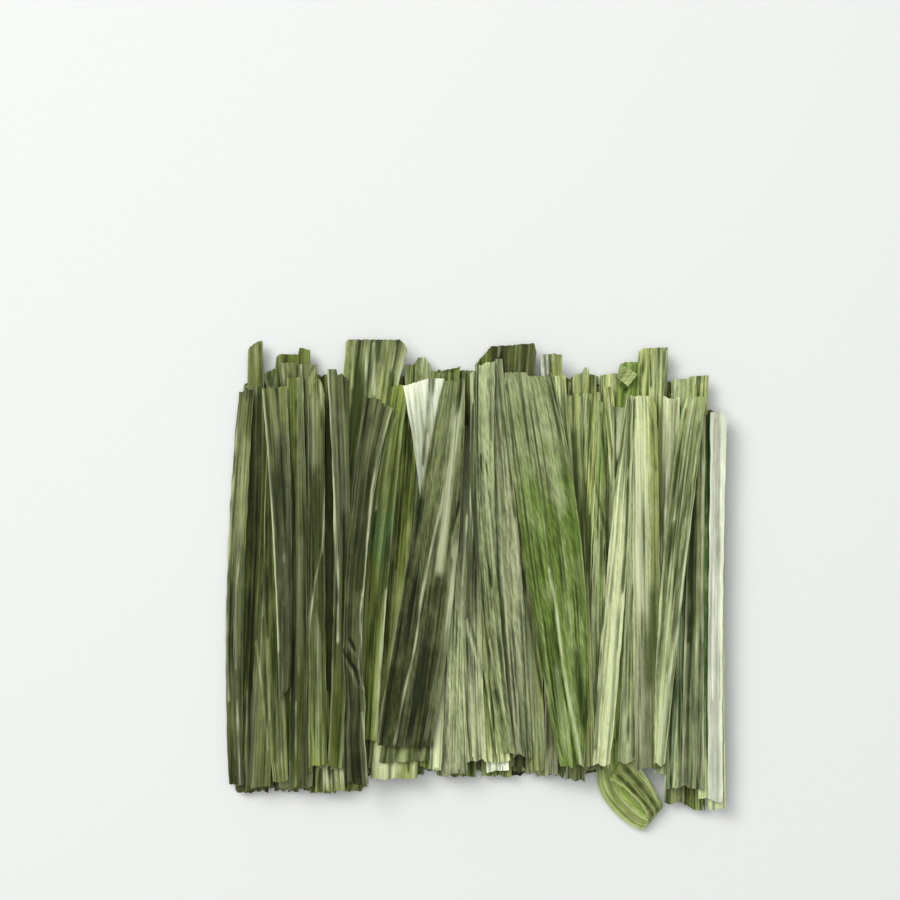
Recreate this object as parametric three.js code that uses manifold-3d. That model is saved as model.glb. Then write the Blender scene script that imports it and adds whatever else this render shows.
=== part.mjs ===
// A flat bunch of dried pandan leaf strips, lying down. Units are millimetres, +Z is up.
// +X runs across the bunch from its left edge to its right edge, +Y along the leaves to their tops.
import * as THREE from "three";
import { mergeVertices } from "three/addons/utils/BufferGeometryUtils.js";
import Module from "manifold-3d";

const wasm = await Module();
wasm.setup();

// Driving dimensions
const layerPitch = 2.1;        // height of one layer of leaves at the middle of the bunch
const layerGap = 0.3;          // least height between a layer and the one below
const bladeThickness = 0.6;
const rowLength = 20;          // a leaf is bent about once in this length
const foldDepth = 0.9;         // how far the creases of a folded leaf rise
const raggedness = 1.6;        // how far the cut ends are torn
const sag = { halfWidth: 93, halfLength: 80, across: 0.15, along: 0.08 };
const bed = {
  layers: 3,
  strips: 18,
  left: -88,
  right: 88,
  overlap: 0.9,                // how far a strip reaches past the edge that it shares, at mid length
  fan: 3.2,                    // how much more than that it reaches at one end, and less at the other
  unevenness: 5,               // how much wider one strip is than the next
  crease: 0.4,                 // depth of the crease beside the middle of a strip in the lowest layer
  rise: 1.1,                   // height of the raised edges above the low ones
  lean: 3.5,
  stagger: 7,                  // how unevenly the ends lie
  lowestThickness: 1,
};
const restDepth = 0.25;        // how much of the lowest creases is pressed flat by the surface below

// Colours of the dried leaves
const tones = {
  darkOlive: 0x4b5030,
  olive: 0x69733c,
  lightOlive: 0x8c965f,
  greyOlive: 0x7a8058,
  sage: 0x96a073,
  paleSage: 0xbec696,
  cream: 0xe4eac4,
  brightGreen: 0x739141,
  deepGreen: 0x3c5a2d,
  tealGreen: 0x508c5f,
};

// One row for each leaf: name, layer, tone, y of the top end with its left and right x,
// left and right x half way down, y of the foot with its left and right x, folds, and extra shape
const leaves = [
  ["left_edge_leaf", 6, "lightOlive", 72, [-88, -82.5], [-92.6, -86.2], -75, [-91.8, -86.6], 1],
  ["left_dark_leaf", 4, "darkOlive", 73.3, [-83.3, -78.8], [-87, -80.3], -71.8, [-89.2, -85.5], 1],
  ["pale_edged_leaf", 7, "olive", 73.3, [-79.6, -70.3], [-75.5, -68.5], -41, [-73.3, -69], 2,
    { footSlant: 5 }],
  ["lower_olive_leaf", 5, "olive", 68.8, [-78.8, -72.2], [-81.4, -74.7], -76.2, [-85.8, -79.2], 1],
  ["light_footed_leaf", 6, "olive", 60.7, [-77.3, -72.2], [-78.8, -73.3], -72.2, [-75.1, -70.7], 1],
  ["narrow_olive_leaf", 6, "olive", 77.7, [-70.3, -64.4], [-68.5, -62.9], -76.2, [-69.6, -63.3], 1],
  ["folded_tip_leaf", 7, "lightOlive", 73.5, [-62.6, -56.4], [-62.2, -56.2], -67.7, [-61.4, -55.5], 1,
    { peak: 4 }],
  ["pale_ridged_leaf", 6, "greyOlive", 79.2, [-55.5, -48.5], [-52.9, -47], -68.1, [-55.5, -50], 1],
  ["short_pale_end", 4, "paleSage", -39, [-59.5, -51.5], [-59.5, -50.4], -77.3, [-59.9, -48.8], 2],
  ["tall_broad_leaf", 5, "lightOlive", 90.6, [-48.5, -25.9], [-52.5, -38.9], -68.8, [-54.4, -47], 3],
  ["buckled_leaf", 8, "darkOlive", 69, [-41.8, -31.1], [-48.8, -41.8], -74.4, [-48.8, -40], 2,
    { topSlant: -4, kinkY: -31, kinkShift: 3.2, kinkRise: 2.4, rows: 14 }],
  ["green_leaf", 6, "olive", 74, [-31.5, -25.5], [-39.6, -32.9], -71.8, [-44.8, -38.5], 1],
  ["olive_middle_leaf", 4, "olive", 74.7, [-28.5, -21.1], [-33.7, -25.5], -68.8, [-40.3, -31.5], 1],
  ["cream_leaf", 7, "cream", 75.4, [-27.4, -12.2], [-17.4, -9.3], -68.8, [-15.9, -10], 2, { topSlant: 3 }],
  ["broad_dark_leaf", 8, "darkOlive", 76.4, [-12.2, -4.1], [-25.9, -7], -60.7, [-37, -16.7], 3,
    { depth: 1.05 }],
  ["under_foot_leaf", 6, "olive", 42.2, [-21, -13.7], [-28.5, -13.7], -66.2, [-36.3, -17], 3],
  ["pale_broad_end", 5, "paleSage", -20.7, [-31.5, -19.2], [-34.4, -20.7], -72.5, [-38.1, -22.2], 2],
  ["grey_sage_leaf", 5, "sage", 38.5, [-9.3, -3.3], [-10, -4.8], -70.7, [-11.5, -5.9], 1],
  ["pale_green_leaf", 6, "paleSage", 60.7, [-5.6, 1.1], [-6.7, 1.5], -66.2, [-5.2, 3.3], 2],
  ["olive_sage_leaf", 5, "sage", 57, [-1.1, 5.6], [0, 8.5], -66.6, [3.3, 12.2], 2],
  ["short_cream_end", 4, "cream", -26, [2.6, 10], [3, 11], -69.9, [3.7, 11.8], 1],
  ["narrow_leaf", 8, "sage", 79.9, [-3.1, -0.2], [-3.3, -1.3], -13.3, [-4.8, -3.2], 1],
  ["middle_grey_leaf", 7, "greyOlive", 82.9, [-0.4, 6.7], [0.9, 7.4], -63.6, [8.5, 14.1], 2],
  ["middle_pale_leaf", 6, "paleSage", 78.4, [4.1, 9.3], [7, 16.3], -64.8, [13.7, 20.4], 2],
  ["light_olive_leaf", 5, "lightOlive", 60.7, [11.5, 17.4], [16.7, 22.6], -69.2, [19.6, 25.5], 1],
  ["grey_green_leaf", 6, "greyOlive", 53.3, [18.9, 24.4], [23.7, 28.9], -71, [25.2, 30], 1],
  ["broad_green_leaf", 8, "brightGreen", 78.8, [9.6, 27.4], [18.1, 39.6], -68.1, [30.7, 39.6], 3,
    { depth: 1.05 }],
  ["upper_olive_leaf", 7, "olive", 78.4, [27.8, 32.9], [30.3, 35.5], -31.8, [34.4, 39.2], 1],
  ["dark_grey_leaf", 6, "darkOlive", 71.8, [33.3, 38.5], [35.9, 41.1], -68.8, [39.2, 44.1], 1],
  ["sage_leaf", 5, "sage", 71.4, [39.2, 44.2], [35.5, 41.1], -73.6, [32.6, 40], 2],
  ["mint_leaf", 5, "tealGreen", 85.8, [23.7, 31.5], [25.2, 31.5], -67, [27, 31.5], 1],
  ["green_sage_leaf", 5, "sage", 68.8, [45.2, 48.5], [42.6, 47.4], -69.6, [41.4, 46.3], 1],
  ["dark_green_leaf", 6, "deepGreen", 74, [46.3, 50], [50, 54], -68.1, [45.2, 48.6], 1],
  ["small_sage_leaf", 7, "sage", 67.3, [50.3, 55.9], [49.2, 54.4], -50.3, [45.5, 50], 1],
  ["pale_yellow_leaf", 8, "paleSage", 71, [55.5, 58.1], [47.7, 55.1], -67.3, [42.9, 49.2], 2],
  ["streaked_leaf", 6, "lightOlive", 60.7, [56.2, 60.7], [55.1, 59.6], -62.2, [52, 59.2], 2],
  ["round_cornered_leaf", 7, "paleSage", 69.9, [58.5, 66.2], [58.8, 67.7], -67.7, [59.6, 68.1], 2],
  ["pale_leaf", 6, "paleSage", 69.6, [68.8, 75.1], [67.7, 73.3], -68.8, [66.2, 71], 1],
  ["dark_crossing_leaf", 8, "darkOlive", 69.9, [76.6, 84.7], [68.1, 75.9], -67.7, [65.5, 68.5], 2],
  ["teal_leaf", 5, "tealGreen", 66.2, [74.4, 78.8], [72.2, 76.6], -76.6, [69.2, 75.1], 2],
  ["striped_dark_leaf", 7, "darkOlive", 68.8, [79.6, 84.7], [77.3, 84], -76.6, [75.1, 84], 2],
  ["edge_green_leaf", 6, "deepGreen", 62.9, [82.5, 87], [82.1, 87], -79.9, [81.8, 87], 1],
  ["right_edge_leaf", 7, "cream", 63.6, [86.6, 92.6], [85.8, 91], -81, [85.5, 91], 1],
  ["pale_foot_leaf", 5, "paleSage", 58.8, [87, 92.1], [85.8, 91.4], -83.5, [85.5, 92.1], 1],
  ["dark_foot_leaf", 3, "darkOlive", 57, [73.6, 82.5], [72.2, 83.3], -82.5, [69.4, 84.4], 2,
    { footSlant: -3 }],
  ["left_back_leaf", 3, "olive", 88.7, [-84.7, -79.6], [-85, -77], -72.5, [-84, -78.8], 1, { topSlant: 3 }],
  ["dark_back_leaf", 3, "darkOlive", 86.2, [-74.4, -61.8], [-72, -60.5], -70.7, [-71.4, -61], 2,
    { topSlant: 2.5 }],
  ["small_back_leaf", 5, "greyOlive", 81.8, [-69.2, -59.6], [-67, -58.1], -68.8, [-65.5, -57.4], 2],
  ["pale_back_leaf", 3, "sage", 83, [-26.6, -17], [-28.5, -19.6], -69.6, [-31.5, -22.6], 2,
    { topSlant: 1.5 }],
  ["olive_back_leaf", 4, "olive", 80.4, [-17, -6.3], [-18.1, -9.3], -68.8, [-21.1, -11.5], 2],
  ["dark_flap_leaf", 4, "darkOlive", 86.5, [-0.4, 22.2], [0.7, 17.4], -20.7, [1.5, 14.1], 3, { topSlant: 5 }],
  ["ragged_back_leaf", 4, "greyOlive", 78.8, [35.5, 44.2], [34.4, 42.6], -68.8, [32.9, 41.1], 2],
  ["green_back_leaf", 4, "brightGreen", 78.1, [45.5, 52.2], [44.4, 50.7], -61, [43.3, 49.2], 1],
  ["right_folded_tip", 5, "brightGreen", 79, [52.2, 60.3], [49.2, 57.4], -57, [48.5, 55.1], 2, { peak: 3 }],
  ["tall_back_leaf", 4, "lightOlive", 87.3, [59.6, 70.7], [58.1, 68.5], -59, [57.4, 66.9], 3],
  ["right_back_leaf", 4, "olive", 76.8, [72.2, 85.8], [70.7, 82.5], -65, [70, 80.6], 3, { topSlant: 2 }],
];

// The leaf whose foot curls back on itself: left and right edge points of the strip from inside
// the bunch, down to the surface, round the bend and back over itself
const curledName = "curled_leaf";
const curledTone = "lightOlive";
const curledLeft = [[45, -18, 7], [45.2, -56, 6.8], [44.6, -66, 5.2], [45, -74.4, 2.8], [48, -81, 1.3],
  [54.4, -87.4, 1], [60.6, -90.4, 1.6], [63.6, -88.6, 4.8], [62.6, -84.6, 7.6], [58.2, -79.8, 9],
  [52.9, -76, 9.8], [47.7, -73.4, 10.2]];
const curledRight = [[53, -18, 7], [53.6, -54, 6.8], [53.8, -61, 5.6], [54.6, -66.5, 3.8], [57, -72.5, 2.2],
  [61.6, -78.4, 1.4], [66.4, -82.6, 1.8], [68.6, -82, 4.4], [67.8, -79.6, 7], [64.6, -73.8, 8.9],
  [60.4, -67.6, 10], [56.4, -62, 10.6]];
const curledRows = 28;

// Where the hidden layers end, as points along X with the y of their ends
const bedTop = [[-93, 70], [-40, 76], [20, 76], [45, 71], [75, 69], [93, 62]];
const bedFoot = [[-93, -72], [-46, -72], [-38, -66], [38, -66], [43, -59], [70, -59], [75, -74], [93, -77]];
const bedTones = ["greyOlive", "olive", "lightOlive"];

const through = (top, middle, foot, t) =>
  top * (1 - t) * (1 - 2 * t) + middle * 4 * t * (1 - t) + foot * t * (2 * t - 1);

// A repeatable number from 0 to 1 for one feature of one leaf
function draw(leaf, feature) {
  const value = Math.sin(leaf * 12.9898 + feature * 78.233) * 43758.5453;
  return value - Math.floor(value);
}

function alongLine(points, x) {
  const last = points.findIndex((point) => point[0] >= x);
  const next = Math.max(1, last < 0 ? points.length - 1 : last);
  const [a, b] = [points[next - 1], points[next]];
  return THREE.MathUtils.mapLinear(x, a[0], b[0], a[1], b[1]);
}

// The bunch is fullest in the middle, and every layer sinks towards the edges
function swell(x, y) {
  return 1 - sag.across * (x / sag.halfWidth) ** 4 - sag.along * (y / sag.halfLength) ** 4;
}

// A closed sheet. place(u, v) gives the upper side, and below(u, v) the point under it.
function closedSheet(columns, rows, place, below) {
  const grid = new THREE.PlaneGeometry(1, 1, columns, rows);
  const at = grid.attributes.position;
  const upper = [];
  const lower = [];
  for (let i = 0; i < at.count; i += 1) {
    const u = at.getX(i) + 0.5;
    const v = 0.5 - at.getY(i);
    upper.push(...place(u, v).toArray());
    lower.push(...below(u, v).toArray());
  }
  const faces = Array.from(grid.index.array);
  const index = [...faces];
  for (let i = 0; i < faces.length; i += 3) {
    index.push(faces[i] + at.count, faces[i + 2] + at.count, faces[i + 1] + at.count);
  }
  const wide = columns + 1;
  const rim = [];
  for (let i = 0; i < columns; i += 1) rim.push(i);
  for (let i = 0; i < rows; i += 1) rim.push(i * wide + columns);
  for (let i = columns; i > 0; i -= 1) rim.push(rows * wide + i);
  for (let i = rows; i > 0; i -= 1) rim.push(i * wide);
  rim.forEach((p, i) => {
    const q = rim[(i + 1) % rim.length];
    index.push(p, q, q + at.count, p, q + at.count, p + at.count);
  });
  const sheet = new THREE.BufferGeometry();
  sheet.setAttribute("position", new THREE.Float32BufferAttribute([...upper, ...lower], 3));
  sheet.setIndex(index);
  return sheet;
}

function leafSheet(row, number) {
  const [, layer, , topY, top, middle, footY, foot, folds, extra = {}] = row;
  const { depth = foldDepth, topSlant = 0, footSlant = 0, peak = 0 } = extra;
  const { kinkY = 0, kinkShift = 0, kinkRise = 0 } = extra;
  const columns = folds * 2;
  const rows = extra.rows ?? Math.max(3, Math.round((topY - footY) / rowLength));
  const flip = draw(number, 90) > 0.6 ? 1 : 0;
  const crease = (j) => depth * ((j + flip) % 2 ? 0.7 + 0.3 * draw(number, j) : 0.2 * draw(number, j));
  const across = (j) => {
    const inside = j > 0 && j < columns;
    return (j + (inside ? 0.5 * (draw(number, j + 20) - 0.5) : 0)) / columns;
  };
  const place = (u, v) => {
    const j = Math.round(u * columns);
    const side = across(j);
    const left = through(top[0], middle[0], foot[0], v);
    const right = through(top[1], middle[1], foot[1], v);
    const kink = Math.exp(-(((topY + (footY - topY) * v - kinkY) / 12) ** 2));
    const x = left + (right - left) * side + kinkShift * kink;
    let y = topY + (footY - topY) * v;
    const tip = topSlant * (side - 0.5) + peak * (1 - Math.abs(2 * side - 1));
    if (v === 0) y += tip - raggedness * draw(number, j + 40);
    if (v === 1) y += footSlant * (side - 0.5) + raggedness * draw(number, j + 60);
    const wave = 0.12 * Math.sin(9 * v + 6 * draw(number, 80));
    const fold = crease(j) * (0.8 + 0.2 * Math.sin(5 * v + number));
    const z = layer * layerPitch + layerGap + bladeThickness + wave + fold;
    return new THREE.Vector3(x, y, z * swell(x, y) + kinkRise * kink);
  };
  const below = (u, v) => place(u, v).sub(new THREE.Vector3(0, 0, bladeThickness));
  return closedSheet(columns, rows, place, below);
}

// A strip between two edge curves, with its thickness square to it
function curledSheet() {
  const curve = (points) => new THREE.CatmullRomCurve3(points.map((p) => new THREE.Vector3(...p)));
  const left = curve(curledLeft);
  const right = curve(curledRight);
  const step = 0.002;
  const middle = (u, v) => left.getPoint(v).lerp(right.getPoint(v), u);
  const normal = (v) => {
    const ahead = middle(0.5, Math.min(1, v + step)).sub(middle(0.5, Math.max(0, v - step)));
    const across = right.getPoint(v).sub(left.getPoint(v));
    return across.cross(ahead).normalize().multiplyScalar(bladeThickness / 2);
  };
  const place = (u, v) => middle(u, v).sub(normal(v));
  const below = (u, v) => middle(u, v).add(normal(v));
  return closedSheet(2, curledRows, place, below);
}

function toSolid(geometry) {
  return new wasm.Manifold(new wasm.Mesh({
    numProp: 3,
    vertProperties: new Float32Array(geometry.attributes.position.array),
    triVerts: new Uint32Array(geometry.index.array),
  }));
}

function toGeometry(solid) {
  const mesh = solid.getMesh();
  const geometry = new THREE.BufferGeometry();
  geometry.setAttribute("position", new THREE.BufferAttribute(mesh.vertProperties, 3));
  geometry.setIndex(new THREE.BufferAttribute(mesh.triVerts, 1));
  return geometry;
}

// One hidden layer: strips side by side, tilted to and fro, that cross along their shared edges
// and part from each other towards one end
function bedLayer(layer) {
  const spacing = (bed.right - bed.left) / bed.strips;
  const thickness = layer === 0 ? bed.lowestThickness : bladeThickness;
  const pressed = layer === 0 ? restDepth : 0;
  const lean = bed.lean * (layer % 2 ? 1 : -1);
  const middle = bed.strips / 2;
  const edge = (i, v) => {
    const free = i > 0 && i < bed.strips && i !== middle;
    const shift = bed.unevenness * (draw(layer + 100, i) - 0.5) + lean * (0.5 - v);
    return bed.left + i * spacing + (free ? shift : 0);
  };
  const reach = (i, v) => {
    const way = (i + layer) % 2 ? 1 : -1;
    return bed.overlap + bed.fan * way * (1 - 2 * v) * (0.6 + 0.4 * draw(layer + 120, i));
  };
  const height = (i) => ((i + middle) % 2 ? bed.rise : 0);
  const columns = layer === 0 ? 4 : 2;
  let solid;
  for (let i = 0; i < bed.strips; i += 1) {
    const number = 200 + layer * bed.strips + i;
    const centre = bed.left + (i + 0.5) * spacing;
    const topY = alongLine(bedTop, centre) + bed.stagger * (draw(number, 1) - 0.5);
    const footY = alongLine(bedFoot, centre) + bed.stagger * draw(number, 2) * 0.6;
    const place = (u, v) => {
      const [a, b] = [edge(i, v), edge(i + 1, v)];
      const x = THREE.MathUtils.lerp(a - reach(i, v), b + reach(i + 1, v), u);
      let y = topY + (footY - topY) * v;
      if (v === 0) y -= raggedness * draw(number, u * columns + 40);
      if (v === 1) y += raggedness * draw(number, u * columns + 60);
      const tilt = THREE.MathUtils.lerp(height(i), height(i + 1), u);
      const bend = u === 0.5 ? 0.25 * draw(number, 3) : bed.crease * (u % 0.5 ? draw(number, u) : 0);
      const z = layer * layerPitch + thickness + tilt + bend;
      return new THREE.Vector3(x, y, z * swell(x, y) - pressed);
    };
    const below = (u, v) => place(u, v).sub(new THREE.Vector3(0, 0, thickness));
    const strip = toSolid(closedSheet(columns, 5, place, below));
    solid = solid ? solid.add(strip) : strip;
  }
  return toGeometry(layer === 0 ? solid.subtract(ground()) : solid);
}

// Everything below the surface that the bunch lies on
function ground() {
  const block = new THREE.BoxGeometry(300, 300, 10).translate(0, 0, -5);
  block.deleteAttribute("normal");
  block.deleteAttribute("uv");
  return toSolid(mergeVertices(block));
}

function leafMesh(name, tone, geometry) {
  const material = new THREE.MeshStandardMaterial({ color: tones[tone], roughness: 0.85, metalness: 0 });
  const mesh = new THREE.Mesh(geometry, material);
  mesh.name = name;
  return mesh;
}

const bunch = new THREE.Group();
for (let layer = 0; layer < bed.layers; layer += 1) {
  bunch.add(leafMesh(`under_layer_${layer + 1}`, bedTones[layer], bedLayer(layer)));
}
leaves.forEach((row, number) => bunch.add(leafMesh(row[0], row[2], leafSheet(row, number))));
bunch.add(leafMesh(curledName, curledTone, curledSheet()));

// The origin is under the middle of the bunch, on the surface that it lies on
const box = new THREE.Box3().setFromObject(bunch);
const centre = box.getCenter(new THREE.Vector3());
bunch.position.set(-centre.x, -centre.y, -box.min.z);

export default bunch;
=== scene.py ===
import math

import bmesh
import bpy
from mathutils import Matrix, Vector, noise


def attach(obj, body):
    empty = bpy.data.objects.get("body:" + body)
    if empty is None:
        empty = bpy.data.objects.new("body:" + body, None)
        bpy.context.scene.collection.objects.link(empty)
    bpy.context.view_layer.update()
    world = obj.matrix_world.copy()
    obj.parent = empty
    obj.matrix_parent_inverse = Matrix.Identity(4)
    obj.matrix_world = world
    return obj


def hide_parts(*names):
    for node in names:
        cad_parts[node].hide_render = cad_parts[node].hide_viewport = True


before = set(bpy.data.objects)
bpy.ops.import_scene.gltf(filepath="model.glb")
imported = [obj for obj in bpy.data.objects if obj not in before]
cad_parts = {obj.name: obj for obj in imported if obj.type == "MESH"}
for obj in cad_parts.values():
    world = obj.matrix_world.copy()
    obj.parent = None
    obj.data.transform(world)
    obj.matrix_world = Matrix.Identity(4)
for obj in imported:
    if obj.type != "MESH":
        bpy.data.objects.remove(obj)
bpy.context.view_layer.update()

# Dried pandan leaf bunch. Leaf sizes are in millimetres, x across the bunch and y along the leaves.
mm = 0.001

bunch = {
    "layerPitch": 2.1,          # height of one layer of leaves
    "layerGap": 0.3,
    "blade": 0.34,              # thickness of a dried blade
    "rise": 0.5,                # upper side of a flat blade above the foot of its layer
    "foldDepth": 0.9,
    "bendLength": 18,           # the ends slant within this length
    "raggedness": 1.6,
    "halfWidth": 93,
    "halfLength": 80,
    "sagAcross": 0.15,
    "sagAlong": 0.08,
    "droopFrom": 82,            # past this x the outermost leaves hang down
    "droopWidth": 8,
    "shiftX": 0.159,            # the bunch's own middle is moved over the origin
    "shiftY": -0.071,
    "eye": (-9.84, 49.65, 941),  # the places below are as seen from here, level with the upper leaves
    "level": 16,
}

# The relief of a dried blade, in millimetres. Where there are three numbers they are the height,
# the size across the blade and the size along it.
relief = {
    "pleatDepth": 0.75,
    "pleatPeriod": (2.4, 4.0),
    "pleatDrift": 0.9,
    "bandWidth": 1.9,
    "threadWidth": 0.75,
    "ribPeriod": 1.15,
    "ribDepth": 0.08,
    "crinkle": (0.12, 1.5, 9),
    "buckle": (0.4, 6, 16),
    "curl": (0.6, 0.9, 20),     # of the side edges, up or down
    "margin": (0.25, 1.2, 6),   # of the side edges, in or out
    "wave": 0.12,
    "tilt": 0.3,
    "crest": 0.3,               # pale stripes stand up by this, dark ones sink
    "kinkReach": 10,            # length of a buckled bend
    "endStep": 1.3,
    "stepReach": 4,             # how far from a cut end its steps are felt
    "tears": [(0.3, 0.7, 3), (0.2, 0.25, 8)],  # depth, width and noise of the torn fibres
    "tearReach": 2.5,
    "rim": 0.4,                 # width of the paler rims
    "slitSpacing": 7,
    "slitDepth": (1, 4),
}

# One row a leaf: node, layer, y of the top with its left and right x, left and right x half way,
# y of the foot with its left and right x, folds
leafRows = [
    ("left_edge_leaf", 6, 72, (-88, -82.5), (-92.6, -86.2), -75, (-91.8, -86.6), 1),
    ("left_dark_leaf", 4, 73.3, (-83.3, -78.8), (-87, -80.3), -74.5, (-89.2, -85.5), 1),
    ("pale_edged_leaf", 7, 73.3, (-79.6, -70.3), (-75.5, -68.5), -41, (-73.3, -69), 2),
    ("lower_olive_leaf", 5, 68.8, (-78.8, -72.2), (-81.4, -74.7), -76.2, (-85.8, -76.4), 1),
    ("light_footed_leaf", 6, 60.7, (-77.3, -72.2), (-78.8, -71.6), -73.6, (-75.4, -69.9), 1),
    ("narrow_olive_leaf", 6, 77.7, (-70.3, -64.4), (-69.3, -62.9), -76.2, (-69.6, -63.3), 1),
    ("folded_tip_leaf", 7, 73.5, (-62.6, -56.4), (-62.2, -56.2), -67.7, (-61.4, -55.5), 1),
    ("pale_ridged_leaf", 6, 79.2, (-55.5, -48.5), (-52.9, -47), -68.1, (-55.5, -50), 1),
    ("short_pale_end", 4, -39, (-59.5, -51.5), (-59.5, -50.4), -77.3, (-59.9, -48.8), 2),
    ("tall_broad_leaf", 5, 90.6, (-48.5, -25.9), (-52.5, -38.9), -68.8, (-54.4, -47), 3),
    ("buckled_leaf", 8, 69, (-41.8, -31.1), (-48.8, -41.8), -74.4, (-48.8, -40), 2),
    ("green_leaf", 6, 74, (-31.5, -25.5), (-41, -32.3), -58.5, (-44, -37), 1),
    ("olive_middle_leaf", 4, 74.7, (-28.5, -21.1), (-33.7, -25.5), -68.8, (-40.3, -31.5), 1),
    ("cream_leaf", 7, 75.4, (-27.4, -12.2), (-18.4, -11), -68.8, (-17.5, -13.3), 2),
    ("broad_dark_leaf", 8, 76.4, (-12.2, -4.5), (-25.9, -7.5), -60.7, (-37, -16.7), 3),
    ("under_foot_leaf", 6, 42.2, (-21, -13.7), (-28.5, -13.7), -66.2, (-36.3, -17), 3),
    ("pale_broad_end", 5, -20.7, (-28, -19.2), (-35.8, -20.7), -72.5, (-39.2, -22.2), 2),
    ("grey_sage_leaf", 5, 38.5, (-9.3, -3.3), (-10.6, -4), -70.7, (-13.3, -3.5), 1),
    ("pale_green_leaf", 6, 60.7, (-5.6, 1.1), (-6.2, 1.5), -66.2, (-4.1, 3.5), 2),
    ("olive_sage_leaf", 5, 57, (-1.1, 5.6), (0, 8.5), -66.6, (3.3, 12.2), 2),
    ("short_cream_end", 4, -26, (2.6, 10), (3, 11), -69.9, (3.7, 11.8), 1),
    ("narrow_leaf", 8, 79.9, (-2.7, 0), (-2.9, -0.9), -13.3, (-4.6, -3.1), 1),
    ("middle_grey_leaf", 7, 82.9, (-0.4, 6.7), (0.9, 7.4), -63.6, (8.5, 14.1), 2),
    ("middle_pale_leaf", 6, 78.4, (4.1, 9.3), (7, 16.3), -64.8, (13.7, 20.4), 2),
    ("light_olive_leaf", 5, 60.7, (11.5, 17.4), (16.7, 22.6), -69.2, (19.6, 25.5), 1),
    ("grey_green_leaf", 6, 53.3, (18.9, 24.4), (23.7, 28.9), -71, (25.2, 30), 1),
    ("broad_green_leaf", 8, 78.8, (9.6, 27.4), (18.1, 39.6), -68.1, (30.7, 39.6), 3),
    ("upper_olive_leaf", 7, 78.4, (27.8, 32.9), (30.3, 35.5), -31.8, (34.4, 39.2), 1),
    ("dark_grey_leaf", 6, 71.8, (33.3, 38.5), (35.9, 41.1), -68.8, (39.2, 44.1), 1),
    ("sage_leaf", 5, 71.4, (39.2, 46), (35.5, 42), -73.6, (32.6, 40), 2),
    ("mint_leaf", 5, 85.8, (23.7, 31.5), (25.2, 31.5), -67, (27, 31.5), 1),
    ("green_sage_leaf", 5, 68.8, (45.2, 48.5), (42.6, 47.4), -69.6, (41.4, 46.3), 1),
    ("dark_green_leaf", 6, 74, (46.3, 50), (50, 54), -68.1, (45.2, 48.6), 1),
    ("small_sage_leaf", 7, 67.3, (50.3, 55.9), (49.2, 54.4), -50.3, (45.5, 50), 1),
    ("pale_yellow_leaf", 8, 71, (55.5, 58.1), (47.7, 55.1), -67.3, (42.9, 49.2), 2),
    ("streaked_leaf", 6, 60.7, (56.2, 60.7), (55.1, 59.6), -66, (52, 60.5), 2),
    ("round_cornered_leaf", 7, 69.9, (57.4, 66.4), (57.8, 67.7), -69.2, (58.6, 67.5), 2),
    ("pale_leaf", 6, 69.6, (68.8, 75.1), (67.7, 73.3), -71.5, (65.5, 70), 1),
    ("dark_crossing_leaf", 8, 69.9, (76.6, 84.7), (68.1, 76.8), -67.7, (65.5, 69.5), 2),
    ("teal_leaf", 5, 66.2, (74.4, 78.8), (72.2, 76.6), -76.6, (69.2, 75.1), 2),
    ("striped_dark_leaf", 7, 68.8, (79.6, 84.7), (77.3, 84), -76.6, (75.1, 84), 2),
    ("edge_green_leaf", 6, 62.9, (82.5, 87), (82.1, 87), -79.9, (81.8, 87), 1),
    ("right_edge_leaf", 7, 63.6, (86.6, 92.6), (85.8, 91), -81, (85.5, 91), 1),
    ("pale_foot_leaf", 5, 58.8, (87, 92.1), (85.8, 91.4), -83.5, (85.5, 92.1), 1),
    ("dark_foot_leaf", 3, 57, (73.6, 82.5), (72.2, 83.3), -82.5, (69.4, 84.4), 2),
    ("left_back_leaf", 3, 88.7, (-84.7, -79.6), (-85, -77), -72.5, (-84, -78.8), 1),
    ("dark_back_leaf", 3, 86.2, (-79, -61.8), (-72, -60.5), -70.7, (-71.4, -61), 2),
    ("small_back_leaf", 5, 81.8, (-73, -59.2), (-67, -58.1), -68.8, (-65.5, -57.4), 2),
    ("pale_back_leaf", 3, 83, (-26.6, -17), (-28.5, -19.6), -69.6, (-31.5, -22.6), 2),
    ("olive_back_leaf", 4, 80.4, (-17, -6.3), (-18.1, -9.3), -68.8, (-21.1, -11.5), 2),
    ("dark_flap_leaf", 4, 88, (-0.8, 22.2), (0.7, 17.4), -20.7, (1.5, 14.1), 3),
    ("ragged_back_leaf", 4, 78.8, (35.5, 44.2), (34.4, 42.6), -68.8, (32.9, 41.1), 2),
    ("green_back_leaf", 4, 78.1, (45.5, 52.2), (44.4, 50.7), -61, (43.3, 49.2), 1),
    ("right_folded_tip", 5, 79, (52.2, 60.3), (49.2, 57.4), -57, (48.5, 55.1), 2),
    ("tall_back_leaf", 4, 87.3, (59.6, 70.7), (58.1, 68.5), -59, (57.4, 66.9), 3),
    ("right_back_leaf", 4, 76.8, (72.2, 85.8), (70.7, 82.5), -65, (70, 80.6), 3),
]

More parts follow.
